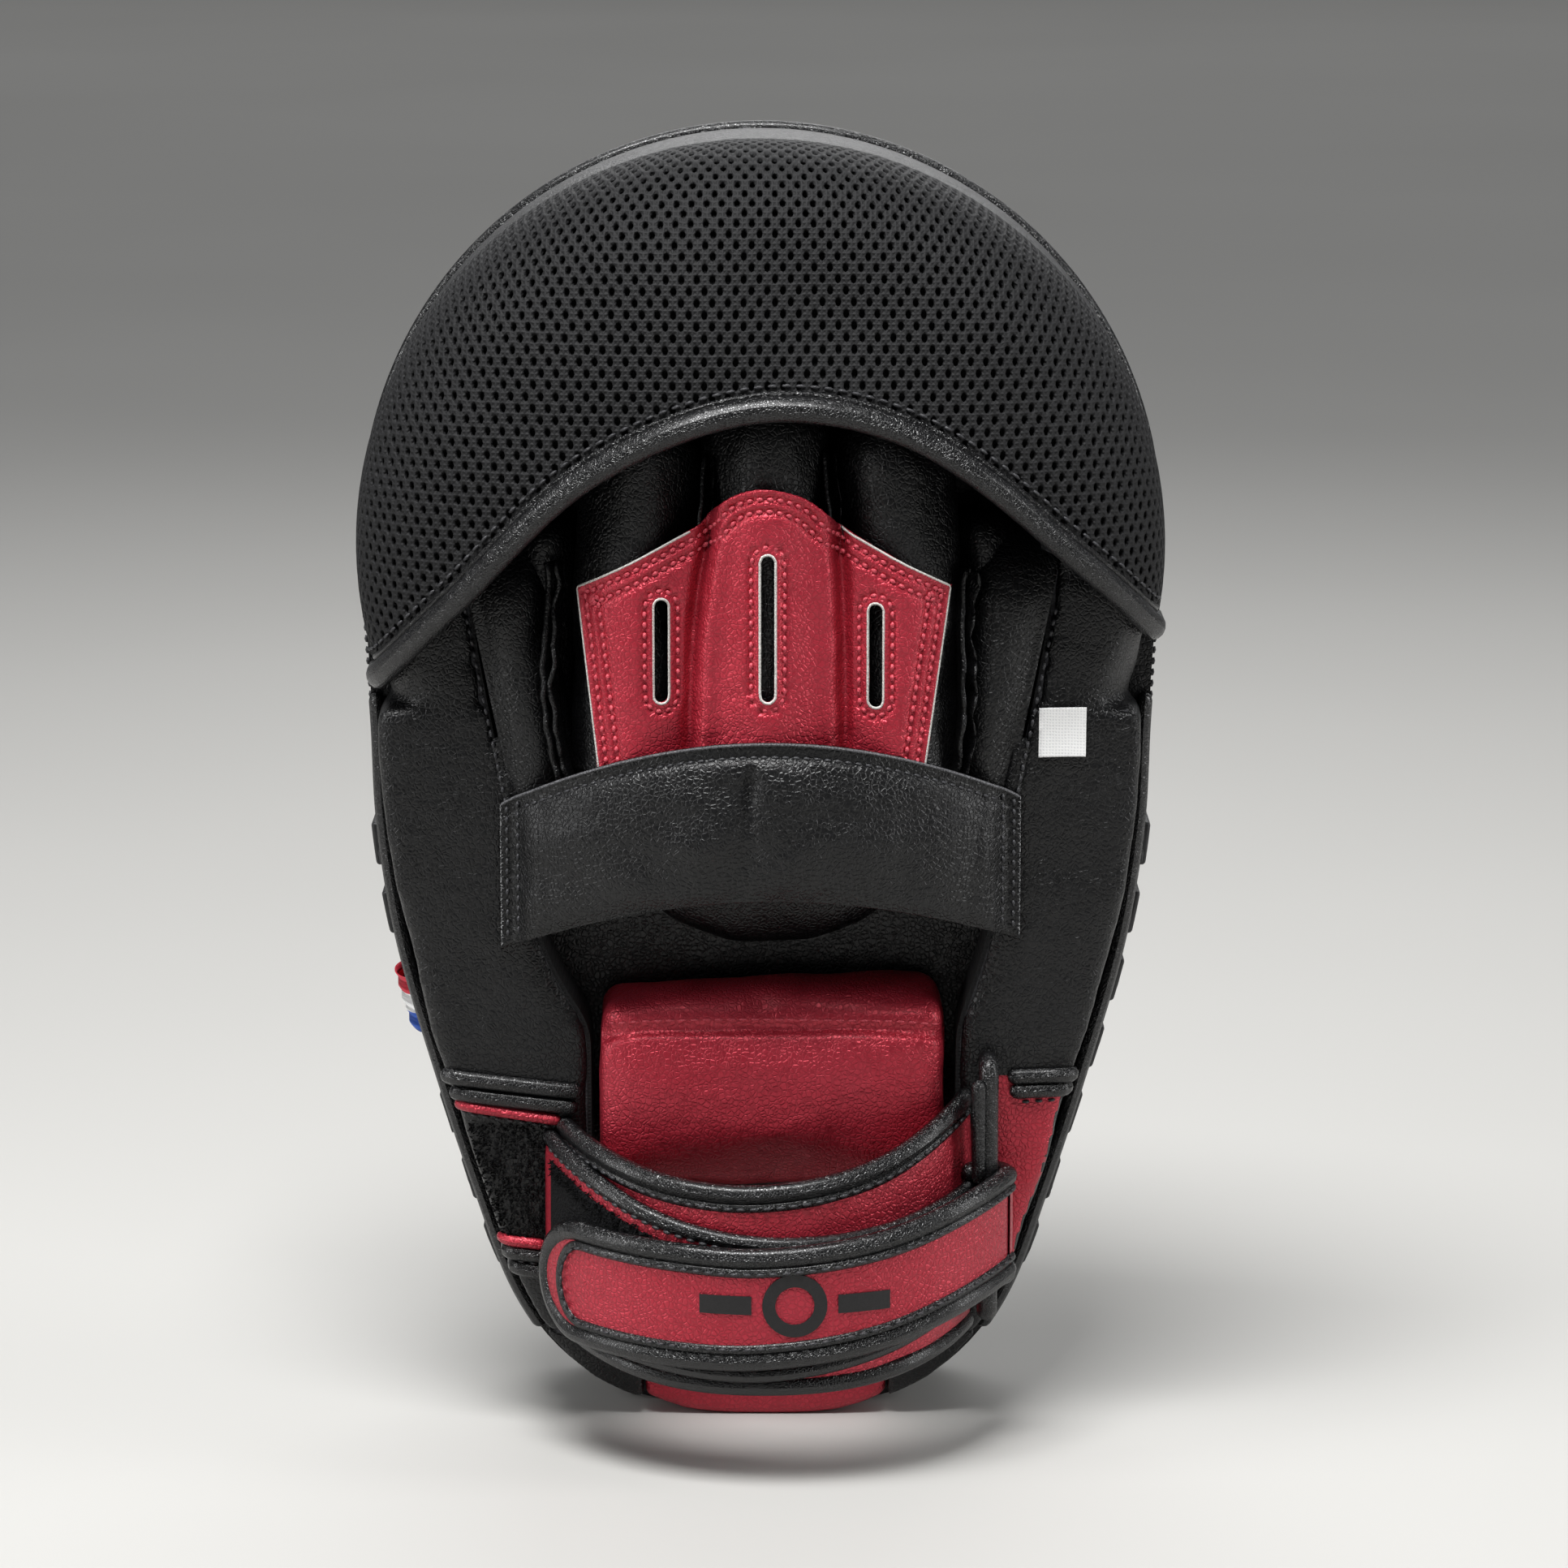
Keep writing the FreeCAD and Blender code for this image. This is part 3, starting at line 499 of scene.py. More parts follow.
def leather(name, colour, worn, grain, roughness, **shader):
    """Polyurethane skin on a woven back: moulded pebble grain, low swells, gloss that wanders, and painted
    shade in the cracks between the pebbles.
    """
    material, tree, surface, place = start_material(name, **shader)
    drift = add(tree, "ShaderNodeTexNoise", {"Scale": per_mm(2.6), "Detail": 2.0}, {"Vector": place})
    bent = add(tree, "ShaderNodeMix", {"Factor": 0.0012}, data_type="VECTOR")
    tree.links.new(place, bent.inputs[4])
    tree.links.new(drift.outputs["Color"], bent.inputs[5])
    pebbles = add(tree, "ShaderNodeTexVoronoi", {"Scale": per_mm(grain)}, {"Vector": bent.outputs[1]},
                  feature="DISTANCE_TO_EDGE")
    tops = add(tree, "ShaderNodeMapRange", {"From Max": 0.22}, {"Value": pebbles.outputs["Distance"]},
               interpolation_type="SMOOTHSTEP")
    fine = add(tree, "ShaderNodeTexNoise", {"Scale": per_mm(0.5), "Detail": 3.0}, {"Vector": place})
    folds = add(tree, "ShaderNodeTexNoise", {"Scale": per_mm(9.0), "Detail": 3.0, "Distortion": 0.6},
                {"Vector": place})
    patches = add(tree, "ShaderNodeTexNoise", {"Scale": per_mm(28.0), "Detail": 4.0}, {"Vector": place})
    shade = add(tree, "ShaderNodeMix", {"A": colour, "B": worn}, data_type="RGBA")
    tree.links.new(patches.outputs["Fac"], shade.inputs["Factor"])
    # Painted shade: the colour is darkened in the cracks between the pebbles, where the grain's hollows fall
    # into shade.
    dark = add(tree, "ShaderNodeMix", {"B": (0.35, 0.35, 0.35, 1)}, {"A": shade.outputs[2]},
               data_type="RGBA",
               blend_type="MULTIPLY")
    painted_crack_shade = add(tree, "ShaderNodeMapRange", {"To Min": 0.3, "To Max": 0.0}, {"Value": tops.outputs[0]})
    tree.links.new(painted_crack_shade.outputs[0], dark.inputs["Factor"])
    tree.links.new(dark.outputs[2], surface.inputs["Base Color"])
    gloss = add(tree, "ShaderNodeMapRange", {"To Min": roughness - 0.07, "To Max": roughness + 0.1},
                {"Value": patches.outputs["Fac"]})
    tree.links.new(gloss.outputs[0], surface.inputs["Roughness"])
    low = add(tree, "ShaderNodeBump", {"Strength": 0.6, "Distance": 1.0 * MM},
              {"Height": folds.outputs["Fac"]})
    mid = add(tree, "ShaderNodeBump", {"Strength": 0.55, "Distance": 0.2 * MM},
              {"Height": tops.outputs[0], "Normal": low.outputs[0]})
    top = add(tree, "ShaderNodeBump", {"Strength": 0.35, "Distance": 0.08 * MM},
              {"Height": fine.outputs["Fac"], "Normal": mid.outputs[0]})
    tree.links.new(top.outputs[0], surface.inputs["Normal"])
    return material


def cloth(name, colour, lighter, thread, depth, **shader):
    """Woven or knitted yarn: two crossed rows of thread, fuzz over them, and a painted highlight that makes
    the raised threads lighter.
    """
    material, tree, surface, place = start_material(name, **shader)
    rows = [add(tree, "ShaderNodeTexWave", {"Scale": per_mm(thread) / 6.5, "Distortion": 1.5, "Detail": 1.0},
                {"Vector": place}, bands_direction=axis) for axis in ("X", "Z")]
    both = add(tree, "ShaderNodeMath", operation="MAXIMUM")
    for i, row in enumerate(rows):
        tree.links.new(row.outputs["Fac"], both.inputs[i])
    fuzz = add(tree, "ShaderNodeTexNoise", {"Scale": per_mm(0.35), "Detail": 2.0}, {"Vector": place})
    # Painted highlight: the raised threads of the weave take the lighter colour.
    shade = add(tree, "ShaderNodeMix", {"A": colour, "B": lighter}, data_type="RGBA")
    tree.links.new(both.outputs[0], shade.inputs["Factor"])
    tree.links.new(shade.outputs[2], surface.inputs["Base Color"])
    low = add(tree, "ShaderNodeBump", {"Strength": 0.8, "Distance": depth * MM}, {"Height": both.outputs[0]})
    top = add(tree, "ShaderNodeBump", {"Strength": 0.5, "Distance": 0.1 * MM},
              {"Height": fuzz.outputs["Fac"], "Normal": low.outputs[0]})
    tree.links.new(top.outputs[0], surface.inputs["Normal"])
    return material


def rough_stuff(name, colour, lighter, size, depth, detail=4.0, **shader):
    """Foam, pile, rubber or print: a grain of one size, with a painted highlight that makes its tops
    lighter.
    """
    material, tree, surface, place = start_material(name, **shader)
    grain = add(tree, "ShaderNodeTexNoise", {"Scale": per_mm(size), "Detail": detail}, {"Vector": place})
    ramp = add(tree, "ShaderNodeMapRange", {"From Min": 0.35, "From Max": 0.7},
               {"Value": grain.outputs["Fac"]})
    # Painted highlight: the raised tops of the grain take the lighter colour.
    shade = add(tree, "ShaderNodeMix", {"A": colour, "B": lighter}, data_type="RGBA")
    tree.links.new(ramp.outputs[0], shade.inputs["Factor"])
    tree.links.new(shade.outputs[2], surface.inputs["Base Color"])
    bump = add(tree, "ShaderNodeBump", {"Strength": 0.8, "Distance": depth * MM},
               {"Height": ramp.outputs[0]})
    tree.links.new(bump.outputs[0], surface.inputs["Normal"])
    return material


def ribbon_tape(name, bands):
    """Woven tape in three colours, one above the other."""
    material, tree, surface, place = start_material(name, Roughness=0.6)
    parts = add(tree, "ShaderNodeSeparateXYZ", links={"Vector": place})
    low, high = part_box("side_ribbon")[0][2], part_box("side_ribbon")[1][2]
    height = add(tree, "ShaderNodeMapRange", {"From Min": low, "From Max": high},
                 {"Value": parts.outputs["Z"]})
    ramp = add(tree, "ShaderNodeValToRGB", links={"Fac": height.outputs[0]})
    ramp.color_ramp.interpolation = "CONSTANT"
    for i, (at, colour) in enumerate(bands):
        stop = ramp.color_ramp.elements[i] if i < 2 else ramp.color_ramp.elements.new(at)
        stop.position, stop.color = at, colour
    tree.links.new(ramp.outputs["Color"], surface.inputs["Base Color"])
    rows = add(tree, "ShaderNodeTexWave", {"Scale": per_mm(0.4) / 6.5}, {"Vector": place},
               bands_direction="Z")
    bump = add(tree, "ShaderNodeBump", {"Strength": 0.6, "Distance": 0.1 * MM},
               {"Height": rows.outputs["Fac"]})
    tree.links.new(bump.outputs[0], surface.inputs["Normal"])
    return material


MATERIALS = {}


def make_materials(looks):
    black, red = tuple(looks.black_leather), tuple(looks.red_leather)
    # Black polyurethane leather: soft satin with a pebble grain that catches light on its tops.
    MATERIALS["black"] = leather("black_pu_leather", black, srgb("#0a0a0c"), looks.grain, 0.36,
                                 Specular_IOR_Level=0.4)
    # Red pearl polyurethane leather: mica under the skin gives it a faint metal sheen.
    MATERIALS["red"] = leather("red_pearl_pu_leather", red, tuple(looks.red_worn), looks.grain, 0.36,
                               Metallic=0.45, Coat_Weight=0.12, Coat_Roughness=0.3)
    # Folded binding: the same black leather drawn tight, so its grain is finer and its gloss higher.
    MATERIALS["binding"] = leather("black_binding_leather", srgb("#070708"), srgb("#0c0c0e"), 0.6, 0.26,
                                   Coat_Weight=0.15, Coat_Roughness=0.2)
    # Knitted spacer mesh: matt polyester yarn with a faint sheen along its edge.
    MATERIALS["mesh"] = cloth("black_spacer_mesh", srgb("#060607"), srgb("#111113"), 0.55, 0.25,
                              Roughness=0.7,
                              Specular_IOR_Level=0.3)
    # Woven nylon lining: dull and dark.
    MATERIALS["lining"] = cloth("black_nylon_lining", srgb("#070708"), srgb("#121214"), 0.45, 0.12,
                                Roughness=0.85)
    # Raw edge of the leather's woven cotton back: off-white and fibrous.
    MATERIALS["raw"] = rough_stuff("raw_cotton_backing", srgb("#a9a7a3"), srgb("#dcdad5"), 0.4, 0.1,
                                   Roughness=0.9)
    # Raw edge of the black leather, whose back was dyed through: dark grey fibres.
    MATERIALS["raw_dark"] = rough_stuff("raw_grey_backing", srgb("#2c2c2e"), srgb("#6c6c6f"), 0.4, 0.1,
                                        Roughness=0.9)
    # Threads: each second colour is the painted highlight on the tops of the thread's grain.
    MATERIALS["black_thread"] = rough_stuff("black_polyester_thread", srgb("#1a1a1c"), srgb("#37373b"),
                                            0.25, 0.06,
                                            Roughness=0.45)
    MATERIALS["red_thread"] = rough_stuff("red_polyester_thread", srgb("#a32134"), srgb("#dd5a68"), 0.25,
                                          0.06,
                                          Roughness=0.45)
    # Loop pile: brushed nylon loops, near black, with painted grey highlights on the tops of its grain.
    MATERIALS["pile"] = rough_stuff("black_loop_pile", srgb("#050506"), srgb("#19191b"), 0.6, 0.8, 6.0,
                                    Roughness=0.95, Specular_IOR_Level=0.2)
    # Hook tape: moulded nylon hooks in rows.
    MATERIALS["hooks"] = cloth("black_hook_tape", srgb("#08080a"), srgb("#1d1d20"), 1.3, 0.5, Roughness=0.55)
    # Raised screen print: dull black ink on the leather.
    MATERIALS["print"] = rough_stuff("black_raised_print", srgb("#0d0c0d"), srgb("#171416"), 0.8, 0.03,
                                     Roughness=0.55)
    MATERIALS["rubber"] = rough_stuff("black_moulded_rubber", srgb("#0a0a0b"), srgb("#141416"), 1.1, 0.08,
                                      Roughness=0.5)
    MATERIALS["foam"] = rough_stuff("closed_cell_foam", srgb("#2c2c2e"), srgb("#444448"), 0.9, 0.2,
                                    Roughness=0.95)
    MATERIALS["board"] = rough_stuff("polyethylene_board", srgb("#55565a"), srgb("#626368"), 2.5, 0.05,
                                     Roughness=0.5)
    # Printed satin label tape, left blank.
    MATERIALS["label"] = cloth("white_satin_tape", srgb("#dedfe0"), srgb("#f6f6f5"), 0.35, 0.05,
                               Roughness=0.5)
    MATERIALS["ribbon"] = ribbon_tape("three_colour_tape", [(0.0, srgb("#1d4fae")), (0.34, srgb("#eeeeee")),
                                                            (0.67, srgb("#c3253a"))])


def dress(node, key):
    """Gives a frame node its material."""
    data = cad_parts[node].data
    data.materials.clear()
    data.materials.append(MATERIALS[key])


# ---------------------------------------------------------------- settings

class MittSizes(bpy.types.PropertyGroup):
    """Sizes a user would change."""
    hole_across: FloatProperty(name="Hole spacing",
                               description="Distance between holes along a row of the mesh",
                               default=3.6 * MM, unit="LENGTH")
    hole_rise: FloatProperty(name="Row spacing", description="Distance between rows of holes",
                             default=2.7 * MM, unit="LENGTH")
    strand: FloatProperty(name="Strand width", description="Half the width of the mesh's strands",
                          default=0.56 * MM, unit="LENGTH")
    stitch_pitch: FloatProperty(name="Stitch pitch", description="Distance from one stitch to the next",
                                default=2.6 * MM, unit="LENGTH")
    thread: FloatProperty(name="Thread thickness", description="Thickness of the sewing thread",
                          default=0.95 * MM, unit="LENGTH")
    pillow_swell: FloatProperty(name="Pillow swell", description="Furthest that the pillow's cover swells",
                                default=3.0 * MM, unit="LENGTH")
    lens: FloatProperty(name="Lens", description="Focal length of the camera, in millimetres", default=126.4)
    lens_distance: FloatProperty(name="Camera distance", description="Distance of the camera from the mitt",
                                 default=1.3, unit="LENGTH")
    lens_rise: FloatProperty(name="Camera elevation", description="Angle of the camera above the horizon",
                             default=math.radians(12.0), subtype="ANGLE")
    seed: IntProperty(name="Seed", description="Seed of the scattered pile loops", default=7)


class MittLooks(bpy.types.PropertyGroup):
    """Colours a user would change."""
    black_leather: FloatVectorProperty(name="Black leather", description="Colour of the black leather",
                                       subtype="COLOR", size=4, min=0, max=1, default=srgb("#060607"))
    red_leather: FloatVectorProperty(name="Red leather", description="Colour of the red leather",
                                     subtype="COLOR", size=4, min=0, max=1, default=srgb("#a51c2d"))
    red_worn: FloatVectorProperty(name="Red leather, worn", description="The red leather's lighter patches",
                                  subtype="COLOR", size=4, min=0, max=1, default=srgb("#b93344"))
    grain: FloatProperty(name="Leather grain", description="Width of the leather's pebbles, in millimetres",
                         default=1.15)
    floor: FloatVectorProperty(name="Floor", description="Colour of the floor", subtype="COLOR", size=4,
                               min=0, max=1, default=srgb("#aeadaa"))


def sizes():
    return bpy.context.scene.mitt_sizes


def in_mm(length):
    return length / MM


def sew(name, rows, key="black_thread", body="mitt", out=OUT, pitch=None, long=0.78, ride=True, thick=None):
    """One piece of thread for rows of stitches."""
    s = sizes()
    pitch = pitch or in_mm(s.stitch_pitch)
    bm = bmesh.new()
    for row in rows:
        if len(row) > 1:
            stitches(bm, row, pitch, pitch * long, thick or in_mm(s.thread), out)
    return make_object(name, bm, MATERIALS[key], body, ride=ride)


class PieceOperator:
    """What all the operators here share."""
    bl_options = {"REGISTER"}

    def execute(self, context):
        self.build(context)
        return {"FINISHED"}


# ---------------------------------------------------------------- the pad

def side_ring(profile, low_z, high_z, left, right):
    """The faces round the pad's side between two heights, as an open sheet."""
    bm = bmesh.new()
    count = 420
    line = outline_points(count)
    away = outline_normals(line)

    def place(u, v):
        i = round(u * count) % count
        at = v * (len(profile) - 1)
        k = min(int(at), len(profile) - 2)
        inset = profile[k][0] + (profile[k + 1][0] - profile[k][0]) * (at - k)
        depth = profile[k][1] + (profile[k + 1][1] - profile[k][1]) * (at - k)
        p = line[i] - away[i] * inset
        return Vector((p.x, bend(p.z, depth), p.z))

    skin(bm, (len(profile) - 1) * 2, count, place)
    bmesh.ops.remove_doubles(bm, verts=bm.verts, dist=0.002)
    for point, normal in (((0, 0, low_z), (0, 0, -1)), ((0, 0, high_z), (0, 0, 1)),
                          ((left, 0, 0), (-1, 0, 0)),
                          ((right, 0, 0), (1, 0, 0))):
        bmesh.ops.bisect_plane(bm, geom=bm.verts[:] + bm.edges[:] + bm.faces[:], plane_co=point,
                               plane_no=normal,
                               clear_outer=True)
    bmesh.ops.recalc_face_normals(bm, faces=bm.faces)
    face_from_middle(bm)
    return bm


def face_from_middle(bm):
    """Turns an open ring's faces away from the middle of the mitt."""
    middle = Vector((0, 15, 150))
    score = sum(f.normal.dot(f.calc_center_median() - middle) * f.calc_area() for f in bm.faces)
    if score < 0:
        bmesh.ops.reverse_faces(bm, faces=bm.faces)


class MITT_OT_pad(PieceOperator, bpy.types.Operator):
    """The striking pad: face, bands round its side, welts, side lugs and ribbon."""
    bl_idname = "mitt.pad"
    bl_label = "Striking pad"

    def build(self, context):
        black = MATERIALS["black"]
        count = 260
        line = outline_points(count)
        away = outline_normals(line)
        rim = [(1.6, PAD - 2.0), (1.9, PAD - 0.9), (3.2, PAD - 0.2), (6.5, PAD + 0.1)]

        def place(u, v):
            i = round(u * count) % count
            if v <= 0.2:
                at = v / 0.2 * 3
                k = min(int(at + 1e-6), 2)
                inset = rim[k][0] + (rim[k + 1][0] - rim[k][0]) * (at - k)
                depth = rim[k][1] + (rim[k + 1][1] - rim[k][1]) * (at - k)
                p = line[i] - away[i] * inset
            else:
                p = line[i] - away[i] * 6.5
                p = p.lerp(Vector((0, 0, 160)), (v - 0.2) / 0.8)
                depth = PAD + 0.1 + 0.7 * noise.noise(p / 30)
            return Vector((p.x, bend(p.z, depth), p.z))

        bm = bmesh.new()
        skin(bm, 30, count, place)
        weld(bm)
        face_out(bm, Vector((0, 1, 0)))
        thicken(bm, 1.2)
        make_object("face_cover", bm, black, stands_for=["face_cover"])

        side = [(3.0, 1.0), (0.9, 1.6), (0.1, 3.4), (-0.2, 10), (-0.3, 18), (-0.2, 26), (0.1, PAD - 3.6),
                (1.2, PAD - 2.0)]
        pieces = {
            "upper_side_band": (147.3, 400, -200, 200, "black"),
            "left_side_band": (-5, 146.7, -200, -28.3, "black"),
            "right_side_band": (-5, 146.7, 30.3, 200, "black"),
            "heel_side_band": (-5, 60, -27.7, 29.7, "red"),
        }
        for name, (low, high, left, right, key) in pieces.items():
            bm = side_ring(side, low, high, left, right)
            thicken(bm, 1.1)
            make_object(name, bm, MATERIALS[key], stands_for=[name])

        bm = bmesh.new()
        lifted = [p for p in line if p.z > 0.9]
        start = next(i for i, p in enumerate(line) if p.z > 0.9)
        path = []
        for i in range(start, start + len(lifted)):
            p = line[i] - away[i] * 0.2
            path.append(Vector((p.x, bend(p.z, PAD - 1.5), p.z)))
        tube(bm, path, 1.75, out=Vector((0, 1, 0)))
        make_object("face_welt", bm, MATERIALS["binding"], stands_for=["face_welt"])

        bm = bmesh.new()
        for sign in (-1, 1):
            path = [Vector((sign * abs(p.x - a.x * 1.6), bend(p.z, -1.2), p.z))
                    for p, a in zip(line, away) if p.x > 0 and 21 < p.z < 178 and a.z < 0.6]
            path.sort(key=lambda p: p.z)
            tube(bm, path, 1.9, flat=1.15)
        make_object("rear_welt", bm, MATERIALS["binding"], stands_for=["rear_welt"])

        rows = []
        for sign in (-1, 1):
            for depth, z0, z1 in ((4.6, 24, 144), (PAD - 5.0, 24, 144), (4.6, 150, 204),
                                  (PAD - 5.0, 150, 204)):
                row = [Vector((sign * (p.x + 0.25), bend(p.z, depth), p.z)) for p in line
                       if p.x > 20 and z0 < p.z < z1]
                row.sort(key=lambda p: p.z)
                rows.append(row)
            rows.append([Vector((sign * 90.95, y, 149.2)) for y in range(4, 31)])
        sew("side_band_thread", rows, out=lambda p: Vector((1 if p.x > 0 else -1, 0, 0)))

        for name in ("left_side_lugs", "right_side_lugs"):
            bm = cad_shape(name)
            sharp = [e for e in bm.edges if len(e.link_faces) == 2 and e.calc_face_angle() > 0.6]
            bmesh.ops.bevel(bm, geom=sharp, offset=0.8, segments=3, profile=0.5, affect="EDGES", material=-1)
            weld(bm)
            make_object(name, bm, MATERIALS["rubber"], stands_for=[name])
        bm = bmesh.new()

        def tab(u, v):
            z = 93.3 + 13.4 * v
            p = min(line, key=lambda q: (q.x + abs(q.x)) * 10 + abs(q.z - z))
            proud = 0.4 + 3.6 * math.sin(math.pi * min(1, u * 1.1)) ** 0.6
            return Vector((p.x - proud, 5.0 + 15.0 * u, z + 1.6 * u))

        skin(bm, 12, 16, tab)
        face_out(bm, Vector((-1, 0, 0)))
        thicken(bm, 0.35)
        make_object("side_ribbon", bm, MATERIALS["ribbon"], stands_for=["side_ribbon"])


class MITT_OT_inside(PieceOperator, bpy.types.Operator):
    """The foams, the board and the linings that the covers hide."""
    bl_idname = "mitt.inside"
    bl_label = "Inner layers"

    def build(self, context):
        for node in ("base_foam", "core_foam", "impact_foam", "palm_frame_foam", "finger_frame_foam"):
            dress(node, "foam")
        dress("back_board", "board")
        dress("palm_lining", "black")
        dress("well_lining", "lining")


# ---------------------------------------------------------------- the frame

class MITT_OT_frame(PieceOperator, bpy.types.Operator):
    """The padded frame: back cover, cuff panels, cuff piping, pile and heel."""
    bl_idname = "mitt.frame"
    bl_label = "Padded frame"

    def build(self, context):
        whole = remeshed(cad_shape("palm_frame_foam", "finger_frame_foam", "back_cover", "left_cuff_panel",
                                   "right_cuff_panel"), 1.5)
        relax(whole, 5)
        bmesh.ops.recalc_face_normals(whole, faces=whole.faces)
        whole.normal_update()
        for v in whole.verts:
            v.co += v.normal * 0.55
        for v in whole.verts:
            v.co.x *= 1 + 0.024 * min(1, max(0, (v.co.z - 115) / 50)) * (abs(v.co.x) > 60)
        rumple(whole, 24, 0.8)
        rumple(whole, 9, 0.3, 4.0)
        tree = whole.copy()
        cuts = {
            "back_cover": (((0, 0, 88.5), (0, 0, 1)),),
            "left_cuff_panel": (((0, 0, 88.5), (0, 0, -1)), ((0, 0, 0), (-1, 0, 0))),
            "right_cuff_panel": (((0, 0, 88.5), (0, 0, -1)), ((0, 0, 0), (1, 0, 0))),
        }
        for name, planes in cuts.items():
            bm = whole.copy()
            for point, normal in planes:
                bmesh.ops.bisect_plane(bm, geom=bm.verts[:] + bm.edges[:] + bm.faces[:], plane_co=point,
                                       plane_no=normal, clear_inner=True)
            materials = [MATERIALS["black"]]
            if name == "right_cuff_panel":
                materials.append(MATERIALS["red"])
                for f in bm.faces:
                    mid = f.calc_center_median()
                    f.material_index = 1 if f.normal.y < -0.55 and mid.x > 53.5 else 0
            make_object(name, bm, materials, stands_for=[name])
        whole.free()

        def along(points, lift):
            return land(tree, [Vector((x, -60, z)) for x, z in points], Vector((0, 1, 0)), lift)

        def straight(a, b, lift=0.6):
            return along([(a[0] + (b[0] - a[0]) * i / 24,
                           a[1] + (b[1] - a[1]) * i / 24) for i in range(25)], lift)

        bm = bmesh.new()
        for a, b in (((-76.5, 88.6), (-44.0, 84.6)), ((-75.5, 84.6), (-45.0, 80.8)),
                     ((60.0, 88.3), (76.0, 88.6)),
                     ((60.5, 84.7), (74.5, 85.2)), ((-61.5, 44.6), (-52.6, 43.4)),
                     ((-59.8, 40.6), (-52.4, 39.4))):
            tube(bm, straight(a, b), 1.9, flat=0.8)
        make_object("cuff_piping", bm, MATERIALS["binding"], stands_for=["cuff_piping"])
        bm = bmesh.new()
        for a, b in (((-73.0, 81.6), (-48.5, 77.6)), ((-62.0, 47.6), (-52.6, 46.4))):
            tube(bm, straight(a, b), 1.35)
        make_object("cuff_red_piping", bm, MATERIALS["red"],
                    stands_for=["cuff_red_piping"])
        sew("cuff_thread", [straight((-72, 79.4), (-49, 75.6), 0.3), straight((61, 81.9), (73, 82.4), 0.3),
                            straight((-60, 42.6), (-52.6, 41.4), 0.9)])

        pile = random.Random(sizes().seed)
        bm = bmesh.new()
        points = []
        while len(points) < 900:
            z = pile.uniform(48.5, 76.5)
            x = pile.uniform(-71, -50.5)
            if x > -58.5 - (z - 30) * 0.235:
                points.append((x, z))
        for p in along(points, 0.2):
            ring = bmesh.ops.create_cone(bm, segments=6, radius1=0.22, radius2=0.12,
                                         depth=pile.uniform(1.0, 1.9))["verts"]
            lean = Vector((pile.uniform(-0.6, 0.6), -1, pile.uniform(-0.6, 0.6))).to_track_quat("Z", "Y")
            for v in ring:
                v.co = p + lean @ v.co
        make_object("left_loop_patch", bm, MATERIALS["pile"], stands_for=["left_loop_patch"])

        heel = remeshed(cad_shape("heel_pad"), 1.2)
        relax(heel, 6)
        for v in heel.verts:
            v.co.z += 4.6 * min(1, abs(v.co.x - 1) / 29) ** 3 * max(0, 1 - v.co.z / 12)
        make_object("heel_pad", heel, MATERIALS["red"], stands_for=["heel_pad"])
        corners = remeshed(cad_shape("heel_corners"), 1.0)
        relax(corners, 3)
        make_object("heel_corners", corners, MATERIALS["black"],
                    stands_for=["heel_corners"])

        welts = []
        bm = bmesh.new()
        for sign in (-1, 1):
            line = [(sign * (seam_x(z) + 0.9), z) for z in range(151, 202)]
            path = along(line, 0.2)
            tube(bm, path, 2.1, flat=0.45)
            for shift in (-1.3, 1.3):
                welts.append(along([(x + shift, z) for x, z in line], 0.95))
        make_object("glove_seam_welts", bm, MATERIALS["black"],
                    stands_for=["glove_seam_welts"])
        sew("glove_seam_thread", welts)

        bm = bmesh.new()

        def label(u, v):
            x, z = 64.6 + 10.9 * u - 0.9 * v, 165.8 + 11.4 * v
            return Vector((x + 1.0 * v, bend(z, -FRAME_DEEP) - 1.9 - 1.1 * u * u + 0.3 * math.sin(3 * v),
                           z + 0.4 * u))

        skin(bm, 8, 8, label)
        face_out(bm, OUT)
        thicken(bm, 0.25)
        make_object("care_label", bm, MATERIALS["label"], stands_for=["care_label"])
        tree.free()


# ---------------------------------------------------------------- the hood

